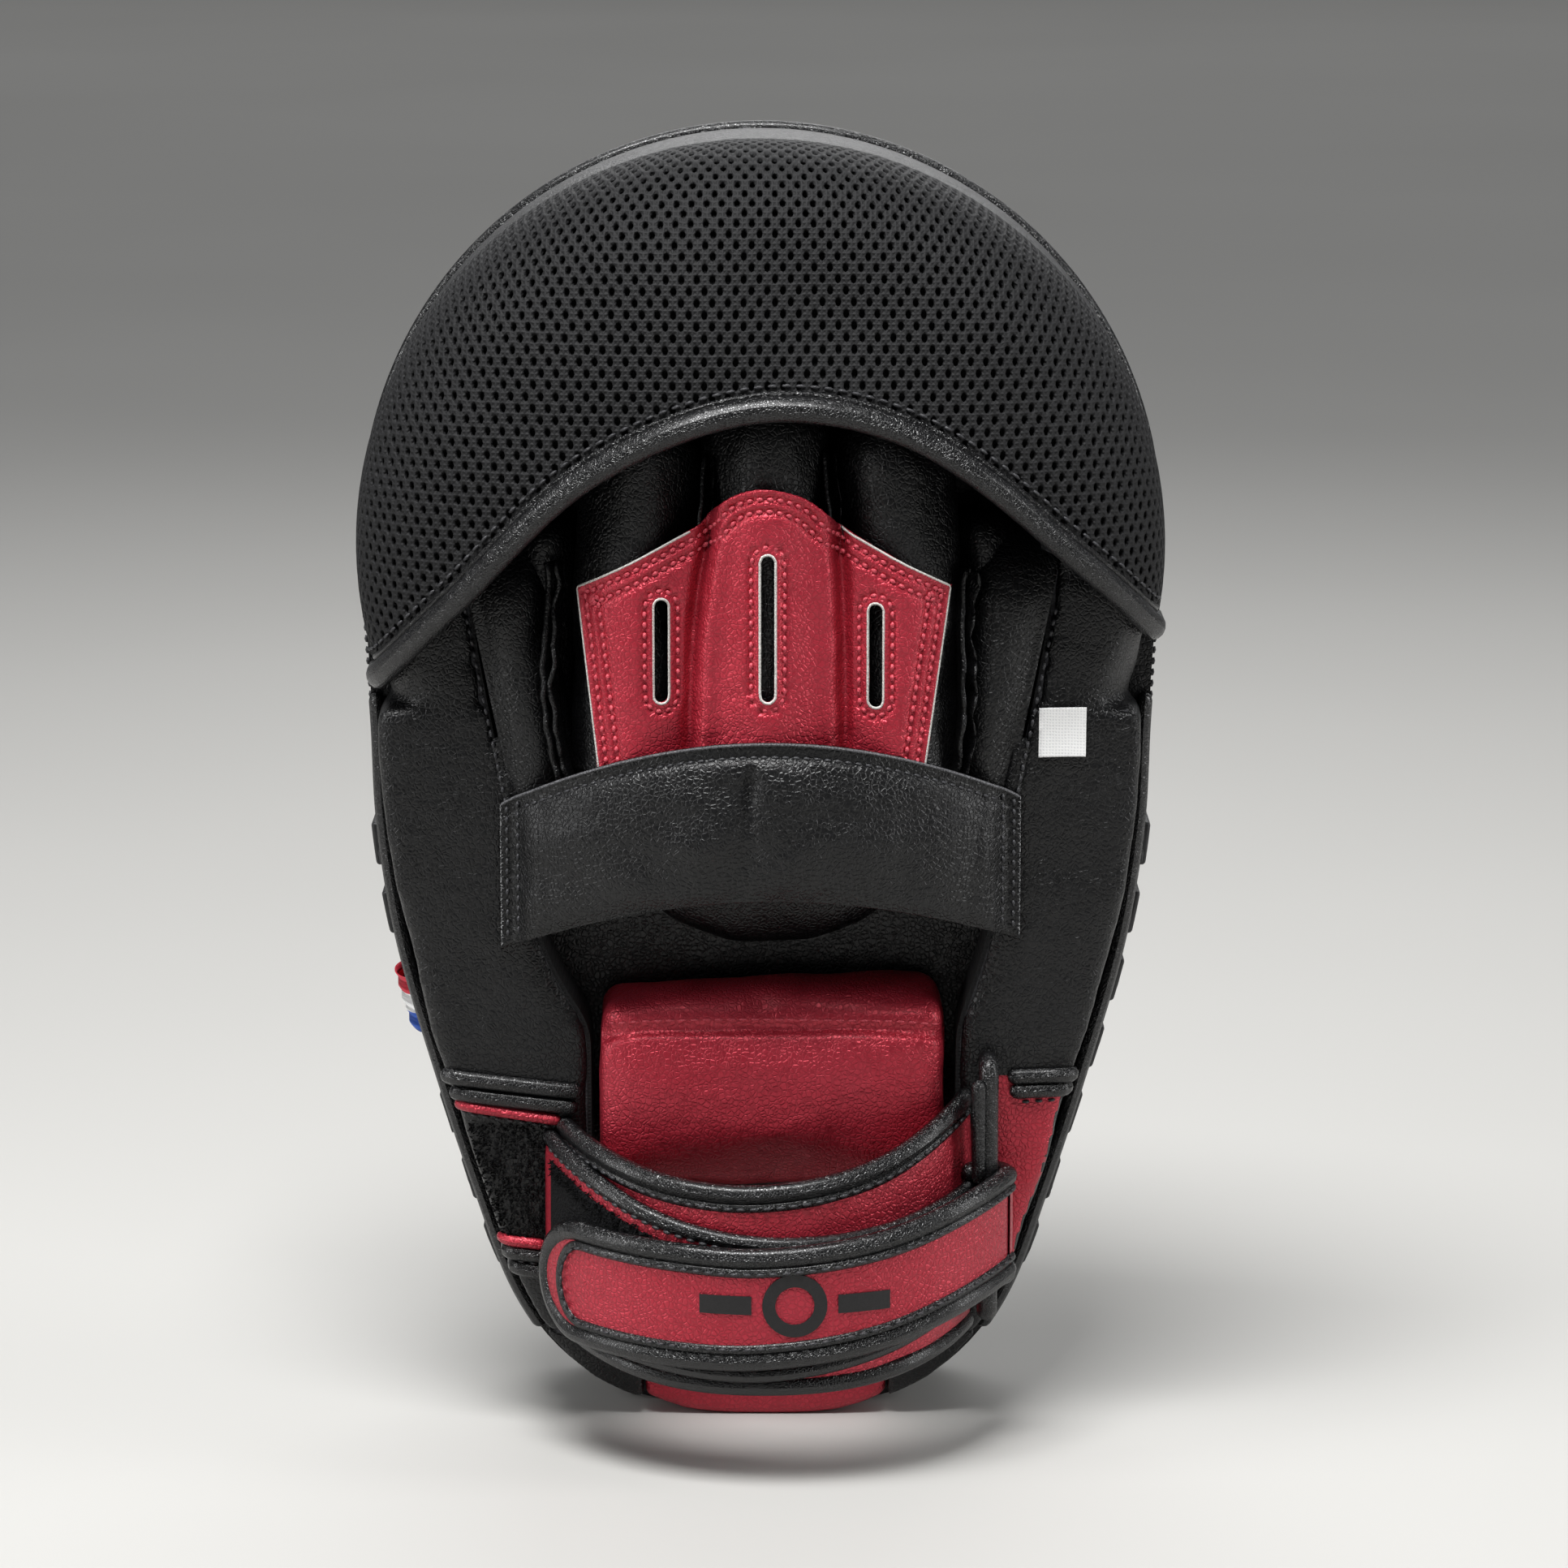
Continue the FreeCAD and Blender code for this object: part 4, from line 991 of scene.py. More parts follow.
class MITT_OT_hood(PieceOperator, bpy.types.Operator):
    """The mesh hood with its rows of holes, its lining and its binding."""
    bl_idname = "mitt.hood"
    bl_label = "Finger hood"

    def build(self, context):
        s = sizes()
        across, rise = in_mm(s.hole_across) / 2, in_mm(s.hole_rise)
        cells = 124
        bm = bmesh.new()
        bmesh.ops.create_grid(bm, x_segments=cells, y_segments=cells, size=cells / 2)
        for v in bm.verts:
            a, b = v.co.x, v.co.y
            v.co = Vector(((a - b) * across, (a + b) * rise, 0))
        drop_outside(bm, 3.6)
        bm.normal_update()
        face_out(bm, OUT)
        made = bmesh.ops.inset_individual(bm, faces=bm.faces[:], thickness=in_mm(s.strand),
                                          use_even_offset=True)
        strands = set(made["faces"])
        holes = [f for f in bm.faces if f not in strands]
        bmesh.ops.inset_individual(bm, faces=holes, thickness=0.1, depth=-1.1, use_even_offset=True)
        bmesh.ops.delete(bm, geom=holes, context="FACES_ONLY")
        hood = make_object("hood_mesh", bm, MATERIALS["mesh"], stands_for=["hood_mesh"])
        soften(hood)

        bm = bmesh.new()
        bmesh.ops.create_grid(bm, x_segments=110, y_segments=110, size=132)
        for v in bm.verts:
            v.co = Vector((v.co.x, v.co.y, 0))
        drop_outside(bm, 3.0, sunk=2.0)
        bm.normal_update()
        face_out(bm, OUT)
        thicken(bm, 0.8)
        make_object("hood_lining", bm, MATERIALS["lining"], stands_for=["hood_lining"])

        edge = arch_path(-3.3)
        bm = bmesh.new()
        tube(bm, edge, 3.1, flat=0.85, sides=14, out=hood_out)
        tube(bm, arch_path(0.4, -0.2), 0.8, flat=0.7, sides=8, out=hood_out)
        make_object("hood_binding", bm, MATERIALS["binding"], stands_for=["hood_binding"])
        sew("hood_thread", [arch_path(2.0, 0.35)], out=hood_out, pitch=3.2)


def hood_out(p):
    """Outward from the hood at a point."""
    across = Vector((p.x, 0, p.z - TOP_Z)) / 94.5
    return Vector((across.x * 1.2, -1.15 + across.length ** 2 * 0.75, across.z * 1.2)).normalized()


def arch_path(shift, lift=1.0):
    """A line along the hood's lower edge, shifted up or down the hood from it."""
    line = []
    for i in range(181):
        x = -91.0 + 184.4 * i / 180
        slope = (arch(x + 0.5) - arch(x - 0.5))
        size = math.hypot(1, slope)
        px, pz = x - slope / size * shift, arch(x) + shift / size
        y = dome_y(px, pz)
        if y is not None and y < -1.0:
            p = Vector((px, y, pz))
            line.append(p + hood_out(p) * lift)
    first, last = line[0], line[-1]
    head = [Vector((first.x - 0.1, bend(first.z), first.z - 0.4))] if first.y < -1 else []
    tail = [Vector((last.x + 0.1, bend(last.z), last.z - 0.4))] if last.y < -1 else []
    return even_line(head + line + tail, 220)


def drop_outside(bm, under, sunk=0.0):
    """Lays a flat cloth over the hood, and drops what lies beyond its edges."""
    flat = {v: (v.co.x, v.co.y) for v in bm.verts}
    for v, (a, b) in flat.items():
        v.co = dome_point(a, b, sunk)
    gone = []
    for f in bm.faces:
        c = f.calc_center_median()
        a = sum(flat[v][0] for v in f.verts) / len(f.verts)
        b = sum(flat[v][1] for v in f.verts) / len(f.verts)
        far = math.hypot(a, b) > DOME_LENGTH - 2
        if far or c.y > bend(c.z) + 0.9 or c.z < arch(c.x) - under or c.z < 150:
            gone.append(f)
    bmesh.ops.delete(bm, geom=gone, context="FACES")


# ---------------------------------------------------------------- the glove

def capsule(bm, x, z, length, radius, deep, wide=1.0, seed=0.0, lean=0.0):
    """A finger stall: a round-ended sleeve, open below, with rumpled leather."""
    def place(u, v):
        a = 2 * math.pi * u
        run = v * (length + radius * 1.5)
        if run <= length:
            r, h = radius, run
        else:
            b = (run - length) / (radius * 1.5) * math.pi / 2
            r, h = radius * math.cos(b), length + radius * math.sin(b)
        box = 1 + 0.05 * math.cos(4 * a)
        p = Vector((x + r * wide * box * math.cos(a) + lean * v * v, -deep + r * box * math.sin(a), z + h))
        grow = 0.7 * noise.noise(Vector((p.x / 9, p.y / 9, p.z / 14 + seed)))
        grow += 0.35 * noise.noise(Vector((p.x / 4, p.y / 4, p.z / 5 + seed)))
        return p + Vector((math.cos(a), math.sin(a), 0)) * grow * min(1, r / radius + 0.2)

    skin(bm, 34, 40, place)


class MITT_OT_stalls(PieceOperator, bpy.types.Operator):
    """The five finger stalls, the leather beside them and the seam edges between them."""
    bl_idname = "mitt.stalls"
    bl_label = "Finger stalls"

    def build(self, context):
        stalls = {
            "thumb_stall": (-51.0, 162.0, 52.0, 7.6, 9.6, 1.0, 1.3, 1.5),
            "index_stall": (-28.8, 161.0, 73.0, 14.0, 16.4, 1.0, 4.1, 2.0),
            "middle_stall": (1.5, 161.0, 79.0, 14.7, 19.0, 0.95, 7.7, 0.0),
            "ring_stall": (31.8, 161.0, 73.0, 14.0, 16.4, 1.0, 9.2, -2.0),
            "little_stall": (52.6, 166.0, 50.0, 6.9, 9.6, 1.0, 12.5, -1.5),
        }
        for name, (x, z, length, radius, deep, wide, seed, lean) in stalls.items():
            bm = bmesh.new()
            capsule(bm, x, z, length, radius, deep, wide, seed, lean)
            weld(bm)
            face_from(bm, Vector((x, -deep, z + length / 2)))
            thicken(bm, 1.0)
            make_object(name, bm, MATERIALS["black"], stands_for=[name])

        for side, sign in (("left", -1), ("right", 1)):
            bm = bmesh.new()

            def place(u, v, sign=sign):
                z = 148 + 74 * v
                outer = seam_x(z) + 0.6
                inner = 41.0 + 6.5 * min(1, max(0, (z - 152) / 45)) - 1.5 * (sign > 0)
                x = inner + (outer - inner) * u
                curl = max(0, v - 0.72) / 0.28
                bulge = (4.2 * math.sin(math.pi * min(1, u * 1.12)) ** 0.8
                         * (0.35 + 0.65 * math.sin(math.pi * min(1, v))))
                y = -19.0 - bulge * (1 - curl * 0.4) + 13 * curl ** 2.2 + 4.5 * (1 - u) ** 3
                y += 0.6 * noise.noise(Vector((x / 7, sign * 5.0, z / 13)))
                return Vector((sign * x, y, z))

            skin(bm, 44, 20, place)
            bmesh.ops.recalc_face_normals(bm, faces=bm.faces)
            face_out(bm, OUT)
            thicken(bm, 1.0)
            make_object("glove_side_" + side, bm, MATERIALS["black"],
                        stands_for=["glove_side_" + side])

        bm = bmesh.new()
        for k, (start, top, sign) in enumerate((((-40.5, 154), (-47.6, 212), -1),
                                                ((40.5, 154), (49.0, 210), 1))):
            for layer in range(2):
                shift = layer * 1.5 * sign

                def place(u, v, start=start, top=top, sign=sign, shift=shift, k=k, layer=layer):
                    z = start[1] + (top[1] - start[1]) * u
                    bow = 2.8 * math.sin(math.pi * u * 1.4 + 0.5 * k) * sign
                    x = start[0] + (top[0] - start[0]) * u ** 0.8 + bow * 0.8
                    wave = 1.0 * noise.noise(Vector((z / 6, k * 9.0 + layer * 3, 0)))
                    tall = (5.5 + 2.0 * noise.noise(Vector((z / 4, k * 7.0 + layer * 5, 1)))
                            + 1.6 * math.sin(math.pi * u))
                    y = -19.5 - tall * v * (0.5 + 0.5 * math.sin(math.pi * min(1, u * 1.1 + 0.1)))
                    return Vector((x + shift * (0.5 + v) + wave * v * 1.4 + sign * v * 1.2, y, z))

                skin(bm, 5, 46, place)
        thicken(bm, 0.9)
        bmesh.ops.recalc_face_normals(bm, faces=bm.faces)
        for x, low, high, lean in ((-12.8, 217, 237, 1.6), (18.2, 217, 238, -2.2)):
            part = bmesh.new()
            for layer in (-1, 1):
                def place(u, v, x=x, low=low, high=high, lean=lean, layer=layer):
                    z = low + (high - low) * u
                    wave = 0.7 * noise.noise(Vector((z / 5, x, layer)))
                    return Vector((x + layer * (0.6 + 0.5 * v) + lean * u + wave * v,
                                   -24.0 - (5.5 - 3 * u * u) * v, z))
                skin(part, 3, 12, place)
            thicken(part, 0.8)
            held = bpy.data.meshes.new("held")
            part.to_mesh(held)
            part.free()
            bm.from_mesh(held)
            bpy.data.meshes.remove(held)
        make_object("seam_flanges", bm, MATERIALS["black"],
                    stands_for=["seam_flanges"])


def face_from(bm, middle):
    """Turns an open sleeve's faces away from a point inside it."""
    score = sum(f.normal.dot(f.calc_center_median() - middle) * f.calc_area() for f in bm.faces)
    if score < 0:
        bmesh.ops.reverse_faces(bm, faces=bm.faces)


def patch_edge():
    """The vent patch's outline over the stalls, and the loop round each of its slots."""
    corners = [Vector((x, 0, z)) for x, z in PATCH]
    top = smooth_line([(p.x, 0, p.z) for p in corners[2:7]], 30)
    edge = even_line([corners[0], corners[1]] + top + [corners[7], corners[8]], 200)
    loops = []
    for x, low, high in SLOTS:
        half = 1.5
        loop = []
        for i in range(13):
            a = math.pi * i / 12
            loop.append(Vector((x + half * math.cos(a), 0, high - half + half * math.sin(a))))
        for i in range(13):
            a = math.pi + math.pi * i / 12
            loop.append(Vector((x + half * math.cos(a), 0, low + half + half * math.sin(a))))
        loops.append(even_line(loop + [loop[0]], 60))
    return edge, loops


def offset_line(line, amount, closed=False):
    """A line in the XZ plane moved sideways."""
    out = []
    n = len(line)
    for i, p in enumerate(line):
        run = (line[(i + 1) % n] - line[i - 1]) if closed else (line[min(n - 1, i + 1)] - line[max(0,
                                                                                                   i - 1)])
        side = Vector((run.z, 0, -run.x)).normalized()
        out.append(p + side * amount)
    return out


class MITT_OT_patch(PieceOperator, bpy.types.Operator):
    """The red vent patch with its slots, raw edges and double rows of red stitches."""
    bl_idname = "mitt.patch"
    bl_label = "Vent patch"

    def build(self, context):
        edge, loops = patch_edge()
        bm = remeshed(cad_shape("vent_patch"), 0.5)
        relax(bm, 2)
        ridges(bm)
        rows = [offset_line(edge, 2.2), offset_line(edge, 5.0)]
        around = [offset_line(loop[:-1], 2.3, closed=True) for loop in loops]
        around = [line + [line[0]] for line in around]
        lines = [self.laid(bm, row, 0) for row in rows + around]
        pinch(bm, lines, 0.95, 0.95, direction=OUT)
        rumple(bm, 6, 0.25, 2.0)
        sewn = [self.laid(bm, row, 0.3) for row in rows + around]
        tree = bm.copy()
        make_object("vent_patch", bm, MATERIALS["red"], stands_for=["vent_patch"])
        sew("patch_thread", sewn, "red_thread", pitch=2.4, thick=1.15, long=0.74)

        bm = bmesh.new()
        for line, closed in [(edge, False)] + [(loop, True) for loop in loops]:
            inner = offset_line(line[:-1] if closed else line, 0.3, closed)
            path = self.laid(tree, inner + ([inner[0]] if closed else []), -0.1)
            if len(path) > 5:
                if not closed:
                    path = [p for p in path if abs(p.x - 1.5) > 17]
                    for side in (-1, 1):
                        tube(bm, [p for p in path if (p.x - 1.5) * side > 0], 0.3, sides=6, spacing=0.8)
                else:
                    tube(bm, path, 0.34, sides=6, spacing=0.8)
        make_object("patch_raw_edge", bm, MATERIALS["raw"])
        tree.free()

    def laid(self, bm, line, lift):
        return land(bm, [Vector((p.x, -80, p.z)) for p in line], Vector((0, 1, 0)), lift)


def ridges(bm):
    """Raises the patch over each finger and folds it in between."""
    for v in bm.verts:
        x, z = v.co.x, v.co.z
        rise = min(1, max(0, (z - 163) / 55))
        valleys = (-16.2 + 4.2 * rise ** 3, 19.6 - 1.4 * rise ** 3)
        fold = sum(math.exp(-((x - c) / 1.7) ** 2) for c in valleys)
        lip = sum(math.exp(-((x - c) / 2.4) ** 2) for c in (valleys[0] + 3.6, valleys[1] - 3.6))
        crown = sum(math.exp(-((x - c) / 7.5) ** 2) for c in (-29, 1.5, 32))
        v.co.y += (2.2 + 2.0 * rise) * fold - 1.1 * lip - 1.0 * crown


# ---------------------------------------------------------------- the knuckle band

class MITT_OT_knuckle_band(PieceOperator, bpy.types.Operator):
    """The padded band over the knuckles, folded in its middle and sewn flat at its ends."""
    bl_idname = "mitt.knuckle_band"
    bl_label = "Knuckle band"

    def build(self, context):
        def section(x, v):
            """Height and lift of the band round one section: up its front, then down its back."""
            end = min(1, max(0, (58.0 - abs(x)) / 6))
            top, foot = band_top(x), band_foot(x)
            seam = top - 3.4
            if v < 0.12:
                t = v / 0.12
                return seam + (top - seam) * t, 0.9 - 0.1 * t
            if v < 0.62:
                t = (v - 0.12) / 0.5
                puff = 0.8 + 2.9 * end * math.sin(math.pi * min(1, t * 1.02)) ** 0.55
                return seam + (foot - seam) * t, puff + 0.5
            if v < 0.74:
                t = (v - 0.62) / 0.12
                a = math.pi * t
                return foot - 0.9 * math.sin(a), (0.5 + 0.8) * (0.5 + 0.5 * math.cos(a)) - 0.2
            t = (v - 0.74) / 0.26
            return foot + (top - foot) * t, -0.2 + 0.2 * t

        def place(u, v):
            x = -60.6 + 121.2 * u
            if v < 0.12:
                z, lift = section(x, 0.12 - v)
                z, lift = (band_top(x) - 3.4) + 3.4 * (1 - v / 0.12), 0.9
            else:
                z, lift = section(x, v)
            flat = min(1, max(0, (abs(x) - 54.5) / 4.0))
            base = knuckle_y(min(60, max(-60, x)))
            y = base * (1 - flat) + (bend(z, -FRAME_DEEP) - 1.4) * flat - lift
            if 0.12 < v < 0.66:
                t = (v - 0.12) / 0.5
                crease = (math.exp(-((x + 1.5 + 2.5 * t) / (1.6 + 1.6 * t)) ** 2)
                          * min(1, t * 6) * max(0, 1 - t * 0.95))
                beside = math.exp(-((x - 7) / 6.5) ** 2) + 0.6 * math.exp(-((x + 12) / 6) ** 2)
                pleat = math.exp(-((abs(x) - 51.5 + 4 * t) / 1.8) ** 2) * (1 - 0.6 * t)
                y += 2.0 * crease + 0.8 * pleat - 1.1 * beside * math.sin(math.pi * min(1, t)) ** 0.7
                y += 1.0 * noise.noise(Vector((x / 15, 0, z / 9))) * (1 - flat)
                y += 0.25 * noise.noise(Vector((x / 3.0, 5, z / 2.2))) * math.exp(-((x - 4) / 13) ** 2)
            return Vector((x, y, z))

        bm = bmesh.new()
        skin(bm, 84, 170, place)
        bmesh.ops.remove_doubles(bm, verts=bm.verts, dist=0.01)
        holes = [e for e in bm.edges if len(e.link_faces) == 1]
        bmesh.ops.holes_fill(bm, edges=holes, sides=0)
        bmesh.ops.recalc_face_normals(bm, faces=bm.faces)
        tree = bm.copy()
        make_object("knuckle_band", bm, MATERIALS["black"],
                    stands_for=["knuckle_band", "knuckle_band_padding"])

        def laid(points, lift=0.15):
            return land(tree, [Vector((x, -80, z)) for x, z in points], Vector((0, 1, 0)), lift)

        rows = [laid([(x, band_top(x) - 3.3) for x in range(-55, 56)])]
        for sign in (-1, 1):
            for inset in (56.4, 59.0):
                x = sign * inset
                low, high = band_foot(x) + 1.5, band_top(x) - 1
                rows.append(laid([(x, low + (high - low) * i / 20) for i in range(21)], 0.2))
        sew("knuckle_thread", rows, pitch=2.4)
        bm = bmesh.new()
        tube(bm, laid([(x, band_top(x) - 0.35) for x in range(-60, 61)], 0.0), 0.38, sides=6)
        make_object("knuckle_raw_edge", bm, MATERIALS["raw_dark"])
        tree.free()


# ---------------------------------------------------------------- palm and pillow

class MITT_OT_palm(PieceOperator, bpy.types.Operator):
    """The wrist pillow, stuffed and sewn along its front edge, and the palm ball."""
    bl_idname = "mitt.palm"
    bl_label = "Palm ball and pillow"

    def build(self, context):
        low, high = (Vector(c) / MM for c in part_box("wrist_pillow"))
        bm = bmesh.new()
        bmesh.ops.create_cube(bm, size=1.0)
        for v in bm.verts:
            v.co = Vector((low.x + 1.6 + (high.x - low.x - 3.2) * (v.co.x + 0.5),
                           low.y + 2.2 + (high.y - low.y - 3.2) * (v.co.y + 0.5),
                           low.z + 1.0 + (high.z - low.z - 3.0) * (v.co.z + 0.5)))
        bmesh.ops.bevel(bm, geom=bm.edges[:], offset=4.0, segments=3, profile=0.5, affect="EDGES",
                        material=-1)
        bm = swelled(bm, 2.2, in_mm(sizes().pillow_swell))
        relax(bm, 2)
        for v in bm.verts:
            v.co.y = min(v.co.y, bend(v.co.z) - 0.1)
            v.co.x = min(46.3, max(-40.3, v.co.x))

        def seam_z(x):
            """Height of the sewn edge along the front, a little lower at both corners."""
            t = (x - 2.5) / 42
            return 101.5 - 2.0 * abs(t) ** 6

        for v in bm.verts:
            back = min(1, max(0, (v.co.y + 22) / 20))
            high = min(1, max(0, (v.co.z - 98) / 8))
            v.co.z += (1.5 + 3.2 * min(1, max(0, (v.co.x + 30) / 65))) * high * back
            v.co.y -= 1.2 * math.sin(math.pi * min(1, max(0, (v.co.z - 62) / 44))) * (v.co.y < -14)
        bm = remeshed(bm, 1.2)
        relax(bm, 3)
        bm.normal_update()
        front = land(bm, [Vector((x, -80, seam_z(x))) for x in range(-38, 44)], Vector((0, 1, 0)))
        pinch(bm, [front], 1.5, 2.1, direction=Vector((0, -0.8, 0.5)))
        pinch(bm, [[front[0]], [front[-1]]], 3.4, 2.2, direction=Vector((0, -0.8, 0.6)))
        rumple(bm, 16, 0.7, 1.0)
        rumple(bm, 5, 0.15, 6.0)
        tree = bm.copy()
        pillow = make_object("wrist_pillow", bm, MATERIALS["red"],
                             stands_for=["wrist_pillow"])
        soften(pillow)
        path = land(tree, [Vector((x, -80, seam_z(x) + 1.3)) for x in range(-36, 43)], Vector((0, 1, 0)),
                    0.15)
        sew("pillow_thread", [path], "red_thread", pitch=2.8, thick=0.7)
        tree.free()

        bm = remeshed(cad_shape("palm_ball"), 2.0)
        relax(bm, 3)
        rumple(bm, 12, 0.6, 3.0)
        ball = make_object("palm_ball", bm, MATERIALS["black"],
                           stands_for=["palm_ball"])
        soften(ball)


# ---------------------------------------------------------------- wrist bands

def band_shape(bm, axis, middle, thick, top, foot, start, end, along=90, edge=2.0, swell=0.25):
    """A flat bent strip with round edges between two heights."""
    sides = 24

    def place(u, v):
        a = start + (end - start) * u
        x = axis[0] + middle * math.sin(math.radians(a))
        high, low = top(x) - edge, foot(x) + edge
        half, mid = (high - low) / 2, (high + low) / 2
        turn = 2 * math.pi * v
        c, s = math.cos(turn), math.sin(turn)
        z = mid + half * math.copysign(abs(c) ** 0.25, c)
        off = thick / 2 * math.copysign(abs(s) ** 0.45, s)
        off += swell * (1 - abs(z - mid) / half) * (s > 0)
        off += 0.25 * noise.noise(Vector((x / 9, z / 9, middle)))
        return ring_point(axis, middle + off, a, z)

    skin(bm, sides, along, place)
    weld(bm, 0.01)
    bmesh.ops.holes_fill(bm, edges=[e for e in bm.edges if len(e.link_faces) == 1], sides=0)
    bmesh.ops.recalc_face_normals(bm, faces=bm.faces)


def edge_path(axis, radius, level, start, end, inward, count=90):
    """A line along a band's edge, a little inside it."""
    out = []
    for i in range(count):
        a = start + (end - start) * i / (count - 1)
        x = axis[0] + radius * math.sin(math.radians(a))
        out.append(ring_point(axis, radius, a, level(x) + inward))
    return out


def from_axis(axis):
    return lambda p: Vector((p.x - axis[0], p.y - axis[1], 0)).normalized()


class MITT_OT_wrist(PieceOperator, bpy.types.Operator):
    """The wrist guard, the strap's sewn run with its loop pile, and the keeper loop."""
    bl_idname = "mitt.wrist"
    bl_label = "Wrist bands"

    def build(self, context):
        away = from_axis(WRIST)
        bar_ring = math.hypot(BAR[0] - WRIST[0], BAR[1] - WRIST[1])
        bar_at = ring_degrees(WRIST, bar_ring, BAR[0])
        bm = bmesh.new()
        band_shape(bm, WRIST, 50.0, 2.8, guard_top, guard_foot, -72, 72)
        make_object("wrist_guard", bm, MATERIALS["red"], stands_for=["wrist_guard"])
        bm = bmesh.new()
        for level, inward in ((guard_top, -1.7), (guard_foot, 1.7)):
            tube(bm, edge_path(WRIST, 50.0, level, -72, 72, inward), 2.35, flat=0.95, out=away, sides=12)
        tube(bm, edge_path(WRIST, 50.9, guard_top, -70, 70, -4.6), 1.25, flat=0.8, out=away)
        make_object("wrist_guard_piping", bm, MATERIALS["binding"],
                    stands_for=["wrist_guard_piping"])

        bm = bmesh.new()
        band_shape(bm, WRIST, 53.3, 2.6, inner_top, inner_foot, -72, bar_at)
        make_object("strap_inner_run", bm, MATERIALS["red"],
                    stands_for=["strap_inner_run"])
        bm = bmesh.new()
        for level, inward in ((inner_top, -1.6), (inner_foot, 1.6)):
            tube(bm, edge_path(WRIST, 53.3, level, -72, bar_at - 1, inward), 2.0, flat=0.95, out=away,
                 sides=12)
        make_object("strap_inner_piping", bm, MATERIALS["binding"],
                    stands_for=["strap_inner_piping"])

        def pile_top(x):
            return inner_top(x) - 5.6

        def pile_foot(x):
            return inner_foot(x) + 3.4

        bm = bmesh.new()
        band_shape(bm, WRIST, 54.9, 0.9, pile_top, pile_foot, -66, bar_at - 16, edge=0.2, swell=0.0)
        scatter = random.Random(sizes().seed + 1)
        for i in range(700):
            a = scatter.uniform(-66, 8)
            x = WRIST[0] + 55 * math.sin(math.radians(a))
            z = pile_top(x) + scatter.uniform(-3.4, 0.5)
            p = ring_point(WRIST, 55.3, a, z)
            lean = (away(p) + Vector((scatter.uniform(-.7, .7), 0,
                                      scatter.uniform(-.5, .8)))).to_track_quat("Z", "Y")
            for v in bmesh.ops.create_cone(bm, segments=5, radius1=0.2, radius2=0.1,
                                           depth=scatter.uniform(0.7, 1.5))["verts"]:
                v.co = p + lean @ v.co
        make_object("strap_loop_pile", bm, MATERIALS["pile"], stands_for=["strap_loop_pile"])

        rows = [edge_path(WRIST, 52.0, guard_top, -68, 68, -4.7),
                edge_path(WRIST, 54.95, inner_top, -68, bar_at - 4, -3.2)]
        sew("wrist_thread", rows, out=away, pitch=3.0)

        bm = bmesh.new()
        back = -15.5
        low, high = 34.5, 90.0
        path = [Vector((BAR[0], back, low))]
        for i in range(7):
            a = math.pi / 2 * i / 6
            path.append(Vector((BAR[0], BAR[1] + 2.5 - 2.5 * math.sin(a), low - 2.5 * math.cos(a) + 0.0)))
        for i in range(20):
            path.append(Vector((BAR[0], BAR[1], low + (high - low) * (i + 0.5) / 20)))
        for i in range(7):
            a = math.pi / 2 * i / 6
            path.append(Vector((BAR[0], BAR[1] + 2.5 - 2.5 * math.cos(a), high + 2.5 * math.sin(a))))
        path.append(Vector((BAR[0], back, high + 2.5)))
        tube(bm, path, 2.35, out=Vector((1, 0, 0.01)), sides=12)
        side = [ring_point(WRIST, 56.4, bar_at - 2.5 - 0.4 * i / 8, 66 + 22 * i / 8) for i in range(9)]
        tube(bm, side, 1.7, out=Vector((1, 0, 0.01)))
        make_object("keeper_loop", bm, MATERIALS["binding"], stands_for=["keeper_loop"])
        sew("keeper_thread", [[p + Vector((-1.5, -1.9, 0)) for p in path[8:28]]], out=Vector((-0.6, -1, 0)),
            pitch=3.0)


